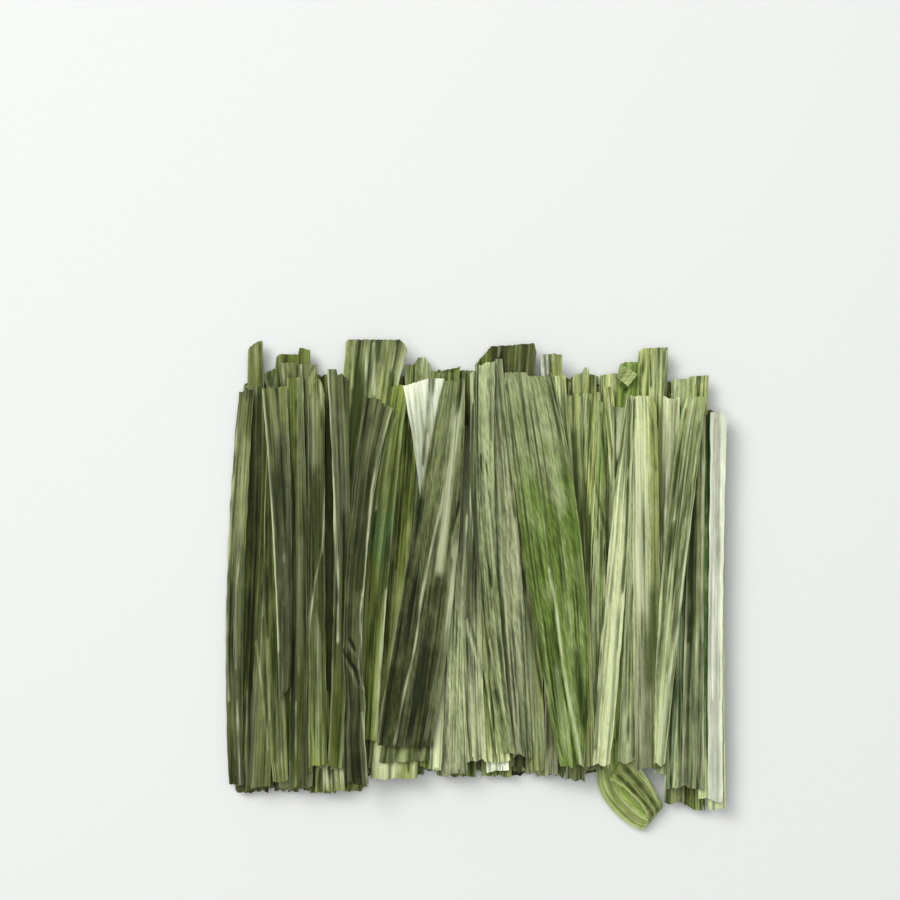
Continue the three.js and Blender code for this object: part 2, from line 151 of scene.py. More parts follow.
# How each leaf looks: slot tone, second tone and where it shows (patches over half the leaf unless
# where and reach say otherwise), stripes as (strength, half width, line that it follows), form of
# the cut end as (place across, height). Shade is the leaf's brightness at its top, half way and at
# its foot: partly the leaf's own lighter and darker parts and partly painted light and shade, as a
# leaf lies lit or in the shade of the others. Pale stripes are partly the leaf's own pale veins and
# rims and partly painted highlights on its folds; dark stripes are partly its own dark veins and
# partly painted shade in its creases and painted shadows beside the leaves that lie over it.
leafLooks = {
    "left_edge_leaf": dict(tone="greyOlive", second="lightOlive", reach=0.4, droop=7.5,
        shade=(0.7, 0.85, 0.5), stripes=[
        (0.9, 0.4, [(-88.4, 64.4), (-90.3, 38.5), (-92.1, 8.9), (-92.9, -20.7), (-91.8, -42.9)]),
        (0.5, 1.1, [(-85.5, 57), (-86.6, 31.1), (-87.7, 16.3)]),
        (0.55, 0.4, [(-87.3, 16.3), (-89.2, -2.2), (-89.2, -31.8)]),
        (0.7, 0.4, [(-88.8, -42.9), (-87.7, -76.2)]),
        (-0.6, 1.1, [(-85.5, 16.3), (-86.6, -20.7), (-87.3, -42.9)])]),
    "left_dark_leaf": dict(tone="darkOlive", second="olive", reach=0.2, droop=4, shade=(1.15, 0.8, 1.35),
        stripes=[
        (0.5, 0.4, [(-85.1, -39.2), (-85.5, -68.8)]), (-0.5, 1.1, [(-81.8, 68.1), (-83.2, 8.9)])]),
    "pale_edged_leaf": dict(tone="greyOlive", second="lightOlive", where="top", reach=0.2, footSlant=5,
        shade=(0.8, 0.65, 0.7), stripes=[
        (1, 0.5, [(-79.5, 71), (-78.1, 55.1), (-77, 40.3), (-76.2, 31.1), (-75.1, 12.6), (-74.4, -5.9),
            (-73.6, -24.4)]), (0.35, 1.5, [(-75.1, 74), (-73.6, 49.6)]),
        (-0.7, 1.9, [(-74, 47.7), (-72.9, 31.1), (-71, 8.9)]), (0.5, 0.7, [(-72.5, 34.8), (-71.4, 8.9)]),
        (-0.5, 1.1, [(-71.4, -5.9), (-70.7, -35.5)]), (0.4, 0.4, [(-71.8, -5.9), (-71.8, -39.2)])]),
    "lower_olive_leaf": dict(tone="olive", second="lightOlive", where="foot", reach=0.3,
        shade=(0.55, 0.75, 0.6), stripes=[
        (0.35, 1.5, [(-81.8, -28.1), (-83.2, -79.9)]), (0.45, 1.7, [(-79.5, -2.2), (-78.4, -35.5)]),
        (0.7, 0.4, [(-81.8, -20.7), (-79.5, -39.2), (-77.3, -61.4)]),
        (-0.6, 0.7, [(-78.8, -13.3), (-78.1, -42.9)])]),
    "light_footed_leaf": dict(tone="olive", second="lightOlive", where="foot", reach=0.3,
        shade=(0.7, 0.75, 0.9), stripes=[
        (0.5, 1.1, [(-72.5, -39.2), (-72.5, -70.7)]), (-0.7, 0.7, [(-75.5, -20.7), (-74.7, -65.1)]),
        (0.6, 0.4, [(-77.3, -20.7), (-76.6, -50.3)])]),
    "narrow_olive_leaf": dict(tone="olive", second="greyOlive", reach=0.4, shade=(1.1, 0.65, 0.8), stripes=[
        (0.7, 0.4, [(-64.4, 71.8), (-63.3, 53.3), (-62.2, 31.1)]),
        (-0.6, 0.7, [(-67, 68.1), (-67, 31.1)]), (0.3, 1.1, [(-65.1, 20), (-65.9, -35.5)]),
        (-0.6, 0.7, [(-68.8, -5.9), (-68.8, -65.1)]), (0.5, 0.4, [(-67, -42.9), (-67, -74.4)])]),
    "folded_tip_leaf": dict(tone="lightOlive", second="olive", where="foot", reach=0.6,
        shade=(0.85, 0.5, 1.35), topShape=[(0, -5), (0.55, 3.3), (0.8, 1.5), (1, -3)], stripes=[
        (0.9, 0.8, [(-58.1, 76.2), (-57.4, 63.6)]),
        (-0.8, 0.4, [(-59.2, 76.2), (-58.1, 68.1), (-57.4, 57)]),
        (0.6, 0.4, [(-55.9, 45.9), (-56.6, 23.7), (-57.4, 12.6), (-59.9, 1.5), (-61.8, -13.3),
            (-62.2, -20.7)]), (0.4, 1.5, [(-58.8, -5.9), (-58.8, -70.7)]),
        (0.45, 1.9, [(-59.6, 75.5), (-61, 57), (-60.3, 38.5)]),
        (-0.5, 1.5, [(-58.8, 42.2), (-59.6, 5.2)]), (-0.6, 0.7, [(-59.2, -5.9), (-56.6, -20.7)])]),
    "pale_ridged_leaf": dict(tone="greyOlive", second="olive", where="foot", reach=0.4, shade=(0.9, 0.7, 1),
        topShape=[(0, 0.5), (0.5, 0.4), (0.55, -1.5), (1, -2.5)], stripes=[
        (0.6, 0.5, [(-55.1, 79.9), (-54.4, 60.7), (-53.3, 38.5)]),
        (0.95, 0.5, [(-53.3, 38.5), (-52.2, 20), (-51.4, 1.5), (-51.4, -20.7)]),
        (0.3, 1.5, [(-50.3, 68.1), (-49.2, 23.7)]), (-0.8, 1.1, [(-48.1, 16.3), (-48.8, -5.9)]),
        (0.5, 0.4, [(-54, -28.1), (-54.8, -65.1)]), (-0.6, 0.9, [(-51.8, -39.2), (-52.2, -65.1)])]),
    "short_pale_end": dict(tone="lightOlive", second="paleSage", pleats=1.4, shade=(0.95, 0.95, 0.9),
        stripes=[
        (0.9, 1.3, [(-55.9, -67.3), (-56.2, -77)]), (-0.7, 0.6, [(-58.1, -68.1), (-58.5, -77)]),
        (-0.7, 0.6, [(-53.3, -68.1), (-52.9, -76.2)])]),
    "tall_broad_leaf": dict(tone="lightOlive", second="greyOlive", reach=0.45, splits=0,
        shade=(0.95, 1.2, 1.2), topShape=[(0, -1), (0.04, 0), (0.88, 0), (0.96, -1.5), (1, -4)], stripes=[
        (-1, 1.7, [(-43.7, 85.8), (-44, 68.1), (-45.5, 53.3)]),
        (-1, 1.7, [(-44.4, 75.5), (-45.5, 57), (-47.4, 34.8)]),
        (-0.6, 1.1, [(-48.5, 86.6), (-49.6, 73.6)]), (0.8, 0.6, [(-41.1, 88.4), (-41.1, 69.9)]),
        (1, 0.7, [(-38.1, 89.5), (-38.1, 69.9)]), (0.6, 0.4, [(-46.2, 88.4), (-46.2, 73.6)]),
        (0.8, 0.5, [(-30, 88.4), (-31.8, 79.2)]), (0.7, 1.1, [(-27.8, 86.6), (-28.9, 73.6), (-30, 68.1)]),
        (1, 0.5, [(-25.9, 85.8), (-27.4, 73.6), (-29.6, 60.7), (-31.8, 49.6), (-35.5, 31.1),
            (-37.7, 20)]), (-1, 0.6, [(-31.1, 77.3), (-31.8, 66.2)]),
        (-0.5, 0.7, [(-34, 88.4), (-34.4, 69.9)]), (-0.5, 0.7, [(-36.3, 89.2), (-36.3, 82.9)])]),
    "buckled_leaf": dict(tone="darkOlive", second="greyOlive", reach=0.35, kinkY=-43, kinkShift=0.9,
        kinkRise=1.6, rowStep=0.6, shade=(0.85, 0.8, 0.75),
        topShape=[(0, 0.3), (0.55, -0.6), (0.6, -1.7), (1, -3.6)], stripes=[
        (1, 0.4, [(-31.4, 64.8), (-34, 57), (-37, 45.9), (-38.9, 34.8), (-40.3, 20), (-41.1, 8.9),
            (-42.2, -4.1)]), (-0.6, 1.5, [(-38.1, 66.2), (-41.8, 53.3), (-43.3, 31.1), (-44.8, 8.9)]),
        (0.7, 0.4, [(-42.2, -2.2), (-43.3, -11.5), (-42.9, -20.7), (-43.7, -27.4), (-44, -32.6),
            (-42.5, -37.7), (-40.7, -40.7), (-39.2, -44.4), (-38.1, -49.6)]),
        (0.45, 0.8, [(-50, -22.2), (-48.1, -28.1), (-45.9, -33.3), (-44, -39.2)]),
        (0.4, 0.8, [(-48.1, -19.2), (-47, -23.7), (-44.4, -27)]),
        (-1, 0.6, [(-49.6, -24.4), (-47, -28.5), (-44.8, -31.8), (-43.7, -36.3)]),
        (-0.8, 0.5, [(-47, -20), (-45.1, -24.4)]), (-0.7, 0.7, [(-41.8, -28.1), (-41.1, -37)]),
        (-0.9, 0.4, [(-48.8, -42.9), (-48.5, -74.4)]), (0.6, 0.4, [(-49.6, -44.8), (-49.2, -74.4)]),
        (0.9, 0.4, [(-42.5, -47.4), (-41.4, -59.6), (-40.7, -76.2)]),
        (-0.4, 1.9, [(-45.5, -50.3), (-45.1, -76.2)])]),
    "green_leaf": dict(tone="olive", second="jade", where="middle", reach=0.2, shade=(1.35, 0.85, 1.35),
        stripes=[
        (0.8, 0.4, [(-29.6, 62.5), (-32.2, 56.2), (-34.8, 47.7), (-36.3, 38.5), (-37.4, 27.4)]),
        (1, 0.5, [(-33.7, -2.2), (-35.1, -20.7), (-36.6, -42.9), (-37.7, -55.9)]),
        (-0.6, 0.7, [(-31.4, 42.2), (-32.9, 8.9)]), (-0.5, 0.7, [(-38.9, -13.3), (-41.1, -42.9)])]),
    "olive_middle_leaf": dict(tone="olive", second="lightOlive", reach=0.3, shade=(1.35, 1, 1.05), stripes=[
        # the first dark stripe is a painted shadow along the edges of the cream and broad dark leaves over
        # it
        (-0.8, 1.1, [(-27, 66.2), (-24.8, 49.6), (-23.3, 38.5), (-24.8, 23.7)]),
        (0.4, 0.7, [(-29.2, 38.5), (-31.4, 8.9)]), (0.5, 0.4, [(-30, 5.2), (-32.9, -28.1)])]),
    "cream_leaf": dict(tone="cream", second="paleSage", where="foot", reach=0.7, grain=0.35, splits=0,
        shade=(1.08, 0.6, 1.1), topShape=[(0, -2.1), (0.63, 0.8), (1, 0.8)], stripes=[
        (-1, 0.6, [(-17.4, 77), (-18.1, 66.2), (-18.9, 57), (-20, 44)]),
        (-0.75, 0.7, [(-15.9, 77), (-17, 66.2), (-18.1, 57)]),
        (-0.3, 0.6, [(-23.3, 73.3), (-21.5, 53.3)]), (-0.35, 0.4, [(-25.9, 73.3), (-22.9, 53.3)]),
        (1, 0.6, [(-14.1, -54), (-14.1, -70.7)]), (-0.8, 0.6, [(-16.6, -57.7), (-17, -68.8)])]),
    "broad_dark_leaf": dict(tone="darkOlive", second="greyOlive", where="top", reach=0.7, crossed=True,
        depth=1.05, pleats=0.8, splits=0.2, shade=(1.15, 0.95, 0.85), stripes=[
        (1, 0.5, [(-4.1, 75.5), (-5.5, 68.1), (-7, 60.7), (-8.1, 53.3), (-11.1, 38.5), (-13.3, 29.2),
            (-16.3, 16.3), (-18.9, 3.3), (-20.7, -5.9), (-22.9, -22.6), (-26.6, -39.2), (-30.7, -59.6)]),
        # the broad pale band next is a painted highlight on a facet of the fold
        (1.5, 1.6, [(-6.7, 66.2), (-8.5, 51.4), (-10.4, 38.5), (-11.5, 27.4), (-12.6, 16.3),
            (-14.4, 0.7)]), (-0.9, 2.2, [(-13.3, 5.9), (-13.7, -7.8)]),
        # this dark stripe is painted shade beside the pale band
        (-0.8, 0.9, [(-5.2, 60.7), (-5.2, 44), (-6.3, 31.1), (-8.9, 20), (-10.4, 8.9)]),
        (0.8, 0.4, [(-5.2, 31.1), (-7.4, 23.7), (-9.2, 16.3), (-9.2, 10.4)]),
        (-0.7, 1.9, [(-17.4, -9.6), (-19.2, -28.1), (-22.2, -52.2)]),
        (0.4, 0.8, [(-9.2, -2.2), (-13.3, -24.4), (-17.4, -46.6), (-19.6, -59.6)]),
        (0.4, 0.9, [(-8.1, 68.1), (-12.2, 51.4), (-16.6, 38.5)]),
        (-0.45, 1.1, [(-10, 73.6), (-11.1, 68.1), (-13.7, 58.8)]),
        (-0.5, 1.1, [(-15.2, 53.3), (-19.2, 38.5), (-22.9, 23.7)]),
        (-0.8, 1.1, [(-19.6, 34.8), (-22.2, 20), (-25.2, 1.5)]), (-0.7, 0.6, [(-6.7, 8.9), (-7.8, -5.9)]),
        (0.35, 1.3, [(-9.2, 7), (-10.4, -9.6), (-12.2, -20.7)]),
        (-0.5, 1.5, [(-26.6, -5.9), (-31.4, -35.5), (-34.4, -57.7)]),
        (0.75, 1.3, [(-7.8, 20), (-8.9, 3.3), (-10, -11.5), (-9.6, -20.7)])]),
    "under_foot_leaf": dict(tone="olive", second="greyOlive", reach=0.3, pleats=1.5, stripes=[
        (0.5, 0.6, [(-28.1, -60.7), (-28.1, -65.9)]), (0.6, 0.6, [(-21.5, -61.4), (-21.1, -65.9)]),
        (-0.7, 0.7, [(-31.8, -61.4), (-31.8, -65.9)]), (-0.7, 0.7, [(-24.8, -61.4), (-24.8, -65.9)])]),
    "pale_broad_end": dict(tone="paleSage", second="lightOlive", where="right", reach=0.55, splits=0,
        shade=(1, 0.97, 0.97), stripes=[
        (0.6, 1.5, [(-37.7, -58.5), (-35.1, -66.6), (-33.7, -73.3)]),
        (-0.8, 0.6, [(-25.5, -65.9), (-25.2, -69.2)]), (0.9, 0.6, [(-23.7, -66.6), (-23.3, -71)]),
        (-0.4, 0.6, [(-29.6, -66.6), (-29.2, -71)])]),
    "grey_sage_leaf": dict(tone="paleSage", second="sage", crossed=True, grain=0.6, lift=1.1,
        shade=(1.2, 1.2, 0.75), stripes=[
        (-0.7, 0.4, [(-7.8, -20.7), (-5.5, -42.9), (-3.7, -65.1)]),
        (0.7, 0.6, [(-9.2, -39.2), (-10, -67)]), (0.8, 0.4, [(-7.4, -22.6), (-5.9, -44.8)]),
        (-0.5, 0.4, [(-11.1, -46.6), (-11.5, -67)])]),
    "pale_green_leaf": dict(tone="sage", second="paleSage", where="foot", shade=(0.5, 0.75, 1), stripes=[
        (0.9, 0.4, [(-5.2, -6.7), (-3.3, -17), (-1.1, -24.4), (1.1, -32.6)]),
        (-1, 0.4, [(-3.7, -7.4), (-1.9, -16.3), (0.4, -25.2), (2.2, -34)]),
        (0.9, 0.4, [(-3.7, 25.5), (-4.1, 16.3), (-4.8, 8.9), (-5.5, -0.4)]),
        (-0.8, 0.4, [(-6.3, 8.9), (-6.3, -5.9)]), (-0.4, 0.7, [(-4.8, -20.7), (-3.3, -42.9)]),
        (0.4, 1.5, [(-1.9, -35.5), (-0.4, -54), (0.4, -70.7)])]),
    "olive_sage_leaf": dict(tone="lightOlive", second="paleSage", reach=0.3, lift=0.9,
        shade=(1.15, 1.15, 1.15), stripes=[
        (-1, 0.5, [(2.2, -32.6), (3.7, -42.9), (5.2, -54), (6.7, -64)]),
        (0.6, 0.4, [(2.6, -20.7), (4.8, -35.5)]), (-0.6, 1.1, [(7.4, -42.9), (8.5, -52.2)]),
        (0.5, 0.4, [(4.4, -42.9), (6.3, -57.7)]), (0.5, 0.4, [(6.3, -54), (7.8, -65.1)])]),
    "short_cream_end": dict(tone="cream", second="paleSage", shade=(1.15, 1.15, 1.15)),
    "narrow_leaf": dict(tone="sage", second="greyOlive", where="foot", shade=(1.05, 0.7, 0.75), stripes=[
        (0.5, 0.4, [(-2.2, 78.4), (-2.6, 49.6)]),
        (0.9, 0.4, [(-2.6, 35.5), (-1.9, 23.7), (-0.7, 14.4), (-0.4, 7)]),
        (-1, 0.4, [(-1.5, 66.2), (-1.9, 49.6), (-1.9, 34.8), (-1.1, 23.7), (0, 12.6), (1.1, 0.7)])]),
    "middle_grey_leaf": dict(tone="greyOlive", second="sage", where="top", reach=0.6, crossed=True,
        shade=(1.1, 1, 1.25), stripes=[
        (-1, 0.4, [(3.3, 45.1), (5.2, 27.4), (6.3, 16.3), (7.4, 6.7), (8.5, -3), (9.6, -15.2)]),
        (0.85, 0.4, [(2.6, 45.1), (4.1, 27.4), (5.5, 16.3), (6.7, 4.4)]),
        (-1, 0.4, [(1.5, 47.7), (1.5, 31.1), (2.6, 20), (3.7, 11.8), (5.2, -0.4)]),
        (-0.9, 0.4, [(0.7, 3.3), (1.9, -7.8), (3.3, -18.9), (4.8, -27.4)]),
        (0.85, 0.4, [(4.4, -20), (6.3, -30), (8.5, -39.2), (11.1, -50.3), (12.2, -58.5)]),
        (-0.5, 0.6, [(4.4, 75.5), (5.5, 53.3)]), (0.6, 0.6, [(2.6, 82.1), (3.3, 57)]),
        (-0.5, 0.4, [(1.1, 68.1), (1.5, 47.7)]), (-0.6, 0.6, [(7, -39.2), (9.6, -50.3)])]),
    "middle_pale_leaf": dict(tone="paleSage", second="sage", reach=0.6, crossed=True,
        shade=(0.85, 0.8, 0.75), topShape=[(0, -0.5), (0.45, 0), (0.5, 5), (1, 5)], stripes=[
        (0.9, 0.5, [(10, 25.5), (10.4, 12.6)]), (0.9, 0.6, [(14.1, 23.7), (15.2, 12.6), (15.5, -5.9)]),
        (-1, 0.4, [(8.9, -2.2), (10, -17), (11.1, -28.1), (12.2, -39.2), (12.9, -50.3), (13.3, -62.2)]),
        (-0.5, 0.4, [(11.8, 31.1), (12.6, 14.4)]), (0.6, 0.4, [(14.4, -20.7), (15.5, -61.4)]),
        (-1, 0.4, [(15.9, -2.2), (17.4, -28.1), (18.9, -61.4)]),
        # the dark stripe next is a painted shadow along the edge of the broad green leaf over it
        (-1, 0.5, [(8.1, 76.2), (10.4, 57), (12.6, 38.5), (14.4, 21.8), (16.3, 8.9)]),
        (0.5, 0.9, [(8.9, 8.9), (11.5, -20.7)])]),
    "light_olive_leaf": dict(tone="lightOlive", second="sage", shade=(0.8, 0.8, 0.95), stripes=[
        (0.7, 0.4, [(18.5, -20.7), (21.1, -57.7)]),
        # the dark stripe next is a painted shadow along the edge of the broad green leaf over it
        (-1, 0.6, [(17, 5.2), (19.6, -13.3), (22.6, -31.8), (25.9, -48.5), (29.2, -65.1)])]),
    "grey_green_leaf": dict(tone="greyOlive", second="paleSage", where="foot", reach=0.06,
        shade=(0.75, 0.75, 0.75)),
    "broad_green_leaf": dict(tone="leafGreen", second="sage", where="top", reach=0.27, crossed=True,
        depth=1.05, pleats=0.65, grain=0.8, splits=0.2, shade=(0.95, 0.95, 0.95), stripes=[
        (-0.7, 0.4, [(10.7, 73.6), (14.4, 42.2), (18.9, 7), (24.4, -28.1), (31.4, -63.3)]),
        (0.5, 0.5, [(17, 76.2), (19.6, 62.5), (21.5, 49.6), (23.3, 34.8), (25.2, 20), (27, 5.2)]),
        (1.2, 0.6, [(26.6, 5.2), (29.2, -7.8), (30.7, -20.7), (32.9, -35.5), (35.1, -46.6), (37, -55.9),
            (38.5, -67), (39.6, -76.2)]),
        (1.4, 0.5, [(32.9, -37.4), (35.1, -47.4), (37, -56.6), (38.5, -67), (40.3, -79.9)]),
        (-1, 0.5, [(27.8, -9.6), (30.3, -26.3), (32.6, -41.1), (35.5, -59.6), (37.4, -70.7)]),
        (-0.9, 1.7, [(36.3, -20.7), (38.1, -39.2), (39.6, -57.7)]),
        (0.4, 1.1, [(25.2, 68.1), (29.2, 42.2), (31.8, 23.7)]),
        (-0.5, 1.1, [(30.7, 53.3), (35.1, 23.7), (38.1, -2.2)]),
        (0.5, 0.4, [(34, 57), (38.1, 27.4), (40.3, 1.5), (42.2, -28.1)]),
        (0.5, 0.9, [(28.9, -28.1), (31.4, -50.3), (33.7, -65.9)]),
        (-0.5, 0.7, [(20, -5.9), (23.7, -35.5), (28.1, -63.3)]), (-0.25, 0.7, [(26.3, 75.5), (28.1, 57)])]),
    "upper_olive_leaf": dict(tone="paleSage", second="lightOlive", shade=(1.2, 1.2, 1.2), stripes=[
        (-0.7, 0.6, [(30.7, 77.3), (32.2, 60.7)])]),
    "dark_grey_leaf": dict(tone="lightOlive", second="greyOlive", lift=0.6, shade=(1.2, 1.35, 1.05),
        stripes=[
        (0.9, 0.4, [(33.3, 69.9), (35.1, 42.2), (37, 16.3)]),
        (0.9, 0.4, [(38.1, 69.9), (40, 42.2), (41.4, 8.9)]),
        (-1, 1.3, [(35.1, 60.7), (37, 31.1), (38.1, 8.9)]), (-0.6, 0.7, [(39.2, 31.1), (41.1, 5.2)])]),
    "sage_leaf": dict(tone="sage", second="lightOlive", lift=0.3, shade=(1, 1.35, 0.7), stripes=[
        (-0.8, 1.5, [(39.2, 42.2), (40.3, 16.3), (40.7, -2.2)]), (-1, 0.4, [(45.5, 63.6), (45.5, 56.2)]),
        (-0.7, 0.5, [(41.8, 68.1), (42.2, 38.5)]), (-0.9, 0.4, [(41.8, 25.5), (41.8, -20.7)]),
        (0.5, 0.4, [(40.3, 68.1), (40.7, 38.5)]), (0.4, 0.9, [(43.7, 38.5), (43.7, 8.9)])]),
    "mint_leaf": dict(tone="lightOlive", second="cream", where="left", reach=0.45, splits=0,
        shade=(0.95, 0.95, 0.95), stripes=[
        (-0.9, 0.4, [(26.6, 85.8), (26.6, 79.2)]), (-0.5, 0.6, [(29.2, 85.8), (29.6, 79.2)])]),
    "green_sage_leaf": dict(tone="sage", second="leafGreen", where="top", reach=0.55, lift=0.9,
        shade=(0.85, 1.1, 0.7), stripes=[
        (-1, 0.5, [(45.9, 63.6), (46.6, 53.3), (47.7, 44), (49.2, 34)]),
        (-1, 0.4, [(43.3, 39.2), (45.5, 29.2), (47.4, 21.8), (48.5, 16.3)]),
        (-1, 0.9, [(48.1, 22.9), (48.1, 13.3)]), (0.6, 0.4, [(44, 31.1), (46.2, 20)]),
        (-0.9, 0.5, [(47.4, 14.4), (47, 3.3)]), (0.5, 0.7, [(44.4, 16.3), (43.7, -13.3)])]),
    "dark_green_leaf": dict(tone="paleSage", second="lightOlive", where="top", reach=0.35, lift=0.6,
        shade=(1.2, 1.2, 1.2), stripes=[
        (-1, 0.4, [(47.4, 69.6), (48.8, 57), (50.3, 47.7), (51.1, 40.7)]),
        (0.9, 0.5, [(48.5, 69.6), (49.6, 57), (50.3, 51.1)]),
        (-1, 0.4, [(50.3, 67.3), (51.1, 49.6), (51.4, 40.7)]),
        (-1, 0.5, [(46.6, 60.7), (47.7, 47.7), (49.6, 34)]), (0.7, 0.6, [(48.8, 47.7), (50, 36.6)])]),
    "small_sage_leaf": dict(tone="sage", second="paleSage", shade=(0.85, 0.85, 0.85), stripes=[
        (-1, 0.4, [(50.7, 67.3), (51.4, 53.3), (51.4, 39.2)]),
        (-1, 0.5, [(55.5, 68.1), (54, 55.1), (52.5, 46.6), (51.4, 40.7)]),
        (0.5, 0.7, [(52.5, 64.4), (52.2, 49.6)])]),
    "pale_yellow_leaf": dict(tone="paleSage", second="sage", where="top", reach=0.25, grain=0.7,
        shade=(1.2, 1.05, 1.05), stripes=[
        (-1.4, 0.5, [(56.2, 70.7), (55.1, 62.5), (53.6, 52.5), (51.8, 40.3), (50.3, 30.3), (49.2, 20),
            (48.1, 8.9), (47, -5.9), (45.5, -28.1), (44.4, -42.9), (43.7, -61.4)]),
        (-1.4, 0.5, [(56.6, 68.8), (56.2, 53.3), (55.9, 38.5), (55.5, 23.7), (54.8, 8.1), (54, -2.2)]),
        (0.4, 0.9, [(53.3, 45.9), (51.1, 16.3), (49.2, -5.9)]),
        (0.6, 0.9, [(51.4, -5.9), (48.5, -39.2), (46.6, -63.3)]),
        (-0.4, 0.4, [(54.4, 8.9), (51.8, -20.7), (49.6, -57.7)]),
        (-0.6, 0.4, [(55.9, 5.2), (53.6, -28.1), (50.7, -65.1)])]),
    "streaked_leaf": dict(tone="paleSage", second="sage", where="foot", lift=0.7, shade=(1.2, 1.2, 0.9),
        stripes=[
        (0.7, 0.5, [(56.6, 8.9), (55.1, -20.7), (54.4, -57.7)]),
        (-0.9, 0.5, [(58.1, 5.2), (56.6, -20.7), (55.9, -57.7)]),
        (-0.9, 0.6, [(60.3, -5.9), (58.8, -42.9), (58.1, -63.3)])]),
    "round_cornered_leaf": dict(tone="paleSage", second="lightOlive", where="right", reach=0.45, pleats=0.8,
        grain=0.55, splits=0, shade=(1.1, 0.9, 0.65),
        topShape=[(0, -0.6), (0.3, 0), (0.7, -0.2), (0.9, -1.8), (1, -4)], stripes=[
        (1, 1.9, [(60.7, 58.8), (59.6, 38.5), (59.2, 16.3), (60.7, -2.2), (62.2, -15.2)]),
        (-0.7, 0.5, [(62.5, 68.8), (64.8, 60.7), (66.2, 42.2)]),
        (-1, 2, [(65.1, 3.3), (64.8, -20.7), (63.6, -42.9)]), (-0.6, 0.9, [(62.9, -42.9), (62.2, -61.4)]),
        (0.8, 0.4, [(67.7, 38.5), (68.1, 1.5), (67.7, -35.5)]),
        (-1.2, 0.4, [(57.9, 68.8), (57.9, 49.6), (58.1, 31.1)]), (-0.9, 0.4, [(55.5, 1.5), (57.4, 8.9)]),
        (0.5, 1.1, [(60.7, -39.2), (60.7, -65.1)])]),
    "pale_leaf": dict(tone="paleSage", second="sage", where="foot", shade=(1.1, 0.55, 0.9), stripes=[
        (-0.9, 0.5, [(67.7, 68.1), (68.1, 42.2), (68.8, 16.3)]),
        (0.8, 0.6, [(72.2, 68.8), (70.7, 42.2), (69.2, 16.3)]),
        (-0.8, 0.4, [(74, 68.8), (73.3, 45.9), (71, 23.7)]), (0.5, 0.6, [(69.6, 68.1), (68.8, 49.6)]),
        (-0.6, 1.1, [(69.2, 8.9), (68.5, -20.7)])]),
    "dark_crossing_leaf": dict(tone="sage", second="greyOlive", where="top", reach=0.78,
        shade=(1.35, 1.15, 1.15), stripes=[
        (1, 0.7, [(81.8, 38.5), (78.8, 20), (76.6, 5.2), (75.1, -7.8), (73.6, -20.7), (71.8, -31.1),
            (70.3, -39.2), (69.2, -50.3), (68.1, -62.2)]),
        (-0.8, 0.5, [(77.3, 64.4), (74.4, 45.9), (71.4, 23.7), (69.2, 1.5), (68.5, -20.7)]),
        (0.7, 0.6, [(79.9, 68.1), (76.6, 45.9), (72.9, 23.7)]),
        (-0.7, 0.5, [(82.5, 60.7), (78.8, 38.5), (75.1, 16.3)]),
        (-0.7, 1.1, [(74.7, 49.6), (72.2, 31.1)]), (0.4, 0.4, [(72.5, 5.2), (70.7, -17), (69.2, -35.5)]),
        (-0.6, 0.5, [(74.7, 5.2), (72.5, -17), (70.3, -31.8)]),
        (0.6, 1.3, [(70.3, -35.5), (68.1, -50.3), (66.6, -68.8)])]),
    "teal_leaf": dict(tone="tealGreen", second="sage", where="foot", lift=1, shade=(1.2, 1.3, 1.2),
        stripes=[
        (0.8, 0.4, [(73.6, -42.9), (72.9, -76.2)]),
        (-1, 0.5, [(73.6, -26.3), (72.2, -39.2), (71.4, -59.6), (71.8, -76.2)]),
        (0.6, 0.9, [(76.2, -9.6), (75.8, -24.4)]), (-0.7, 0.4, [(75.1, -35.5), (74.7, -76.2)]),
        (0.5, 0.7, [(69.2, -57.7), (69.2, -70.7)])]),
    "striped_dark_leaf": dict(tone="greyOlive", second="sage", where="foot", reach=0.4,
        shade=(1.35, 0.95, 0.9), stripes=[
        (0.9, 0.4, [(83.6, 68.1), (83.6, 38.5), (83.2, 8.9), (83.6, -20.7)]),
        (-0.9, 0.6, [(81, 38.5), (79.2, 8.9), (78.1, -20.7)]),
        (0.7, 0.4, [(79.5, 31.1), (77.3, 1.5), (76.6, -42.9), (76.2, -76.2)]),
        (-0.9, 0.8, [(80.3, -5.9), (78.1, -42.9), (77.7, -76.2)]),
        (0.6, 0.4, [(81.4, -13.3), (80.7, -42.9), (79.9, -76.2)]),
        (-0.7, 0.4, [(82.9, -13.3), (82.1, -42.9), (81.4, -76.2)]),
        (0.7, 0.4, [(84.4, -20.7), (83.6, -76.2)]),
        (-0.9, 1.5, [(81.4, 31.1), (79.5, 16.3), (78.8, -9.6)])]),
    "edge_green_leaf": dict(tone="deepGreen", second="sage", where="foot", reach=0.2,
        shade=(0.95, 1.35, 1.35), stripes=[
        (-0.8, 0.5, [(85.8, 60.7), (85.8, -20.7)])]),
    # its pale cream is partly the leaf's own pale tone and partly a painted glare
    "right_edge_leaf": dict(tone="cream", second="cream", grain=0.4, droop=2.5, splits=0,
        shade=(0.95, 1, 0.95), topShape=[(0, 0), (0.8, 0.3), (0.85, -1), (1, -1.5)], stripes=[
        (-0.45, 0.4, [(88.1, 61.4), (87.7, 42.2)]), (-0.35, 0.4, [(90.7, 61.4), (90.7, 53.3)]),
        (-0.3, 0.4, [(87.3, -42.9), (87.3, -76.2)]), (-0.3, 0.4, [(89.5, -20.7), (89.9, -42.9)])]),
    "pale_foot_leaf": dict(tone="paleSage", second="lightOlive", reach=0.6, shade=(1.05, 1.05, 1.05),
        stripes=[
        (-0.7, 0.4, [(87.3, -78.4), (87.3, -83.6)])]),
    "dark_foot_leaf": dict(tone="olive", second="greyOlive", reach=0.4, footSlant=-3, shade=(1.1, 1.1, 1.1),
        stripes=[
        (-0.7, 0.9, [(70.7, -76.2), (71.4, -82.1)])]),
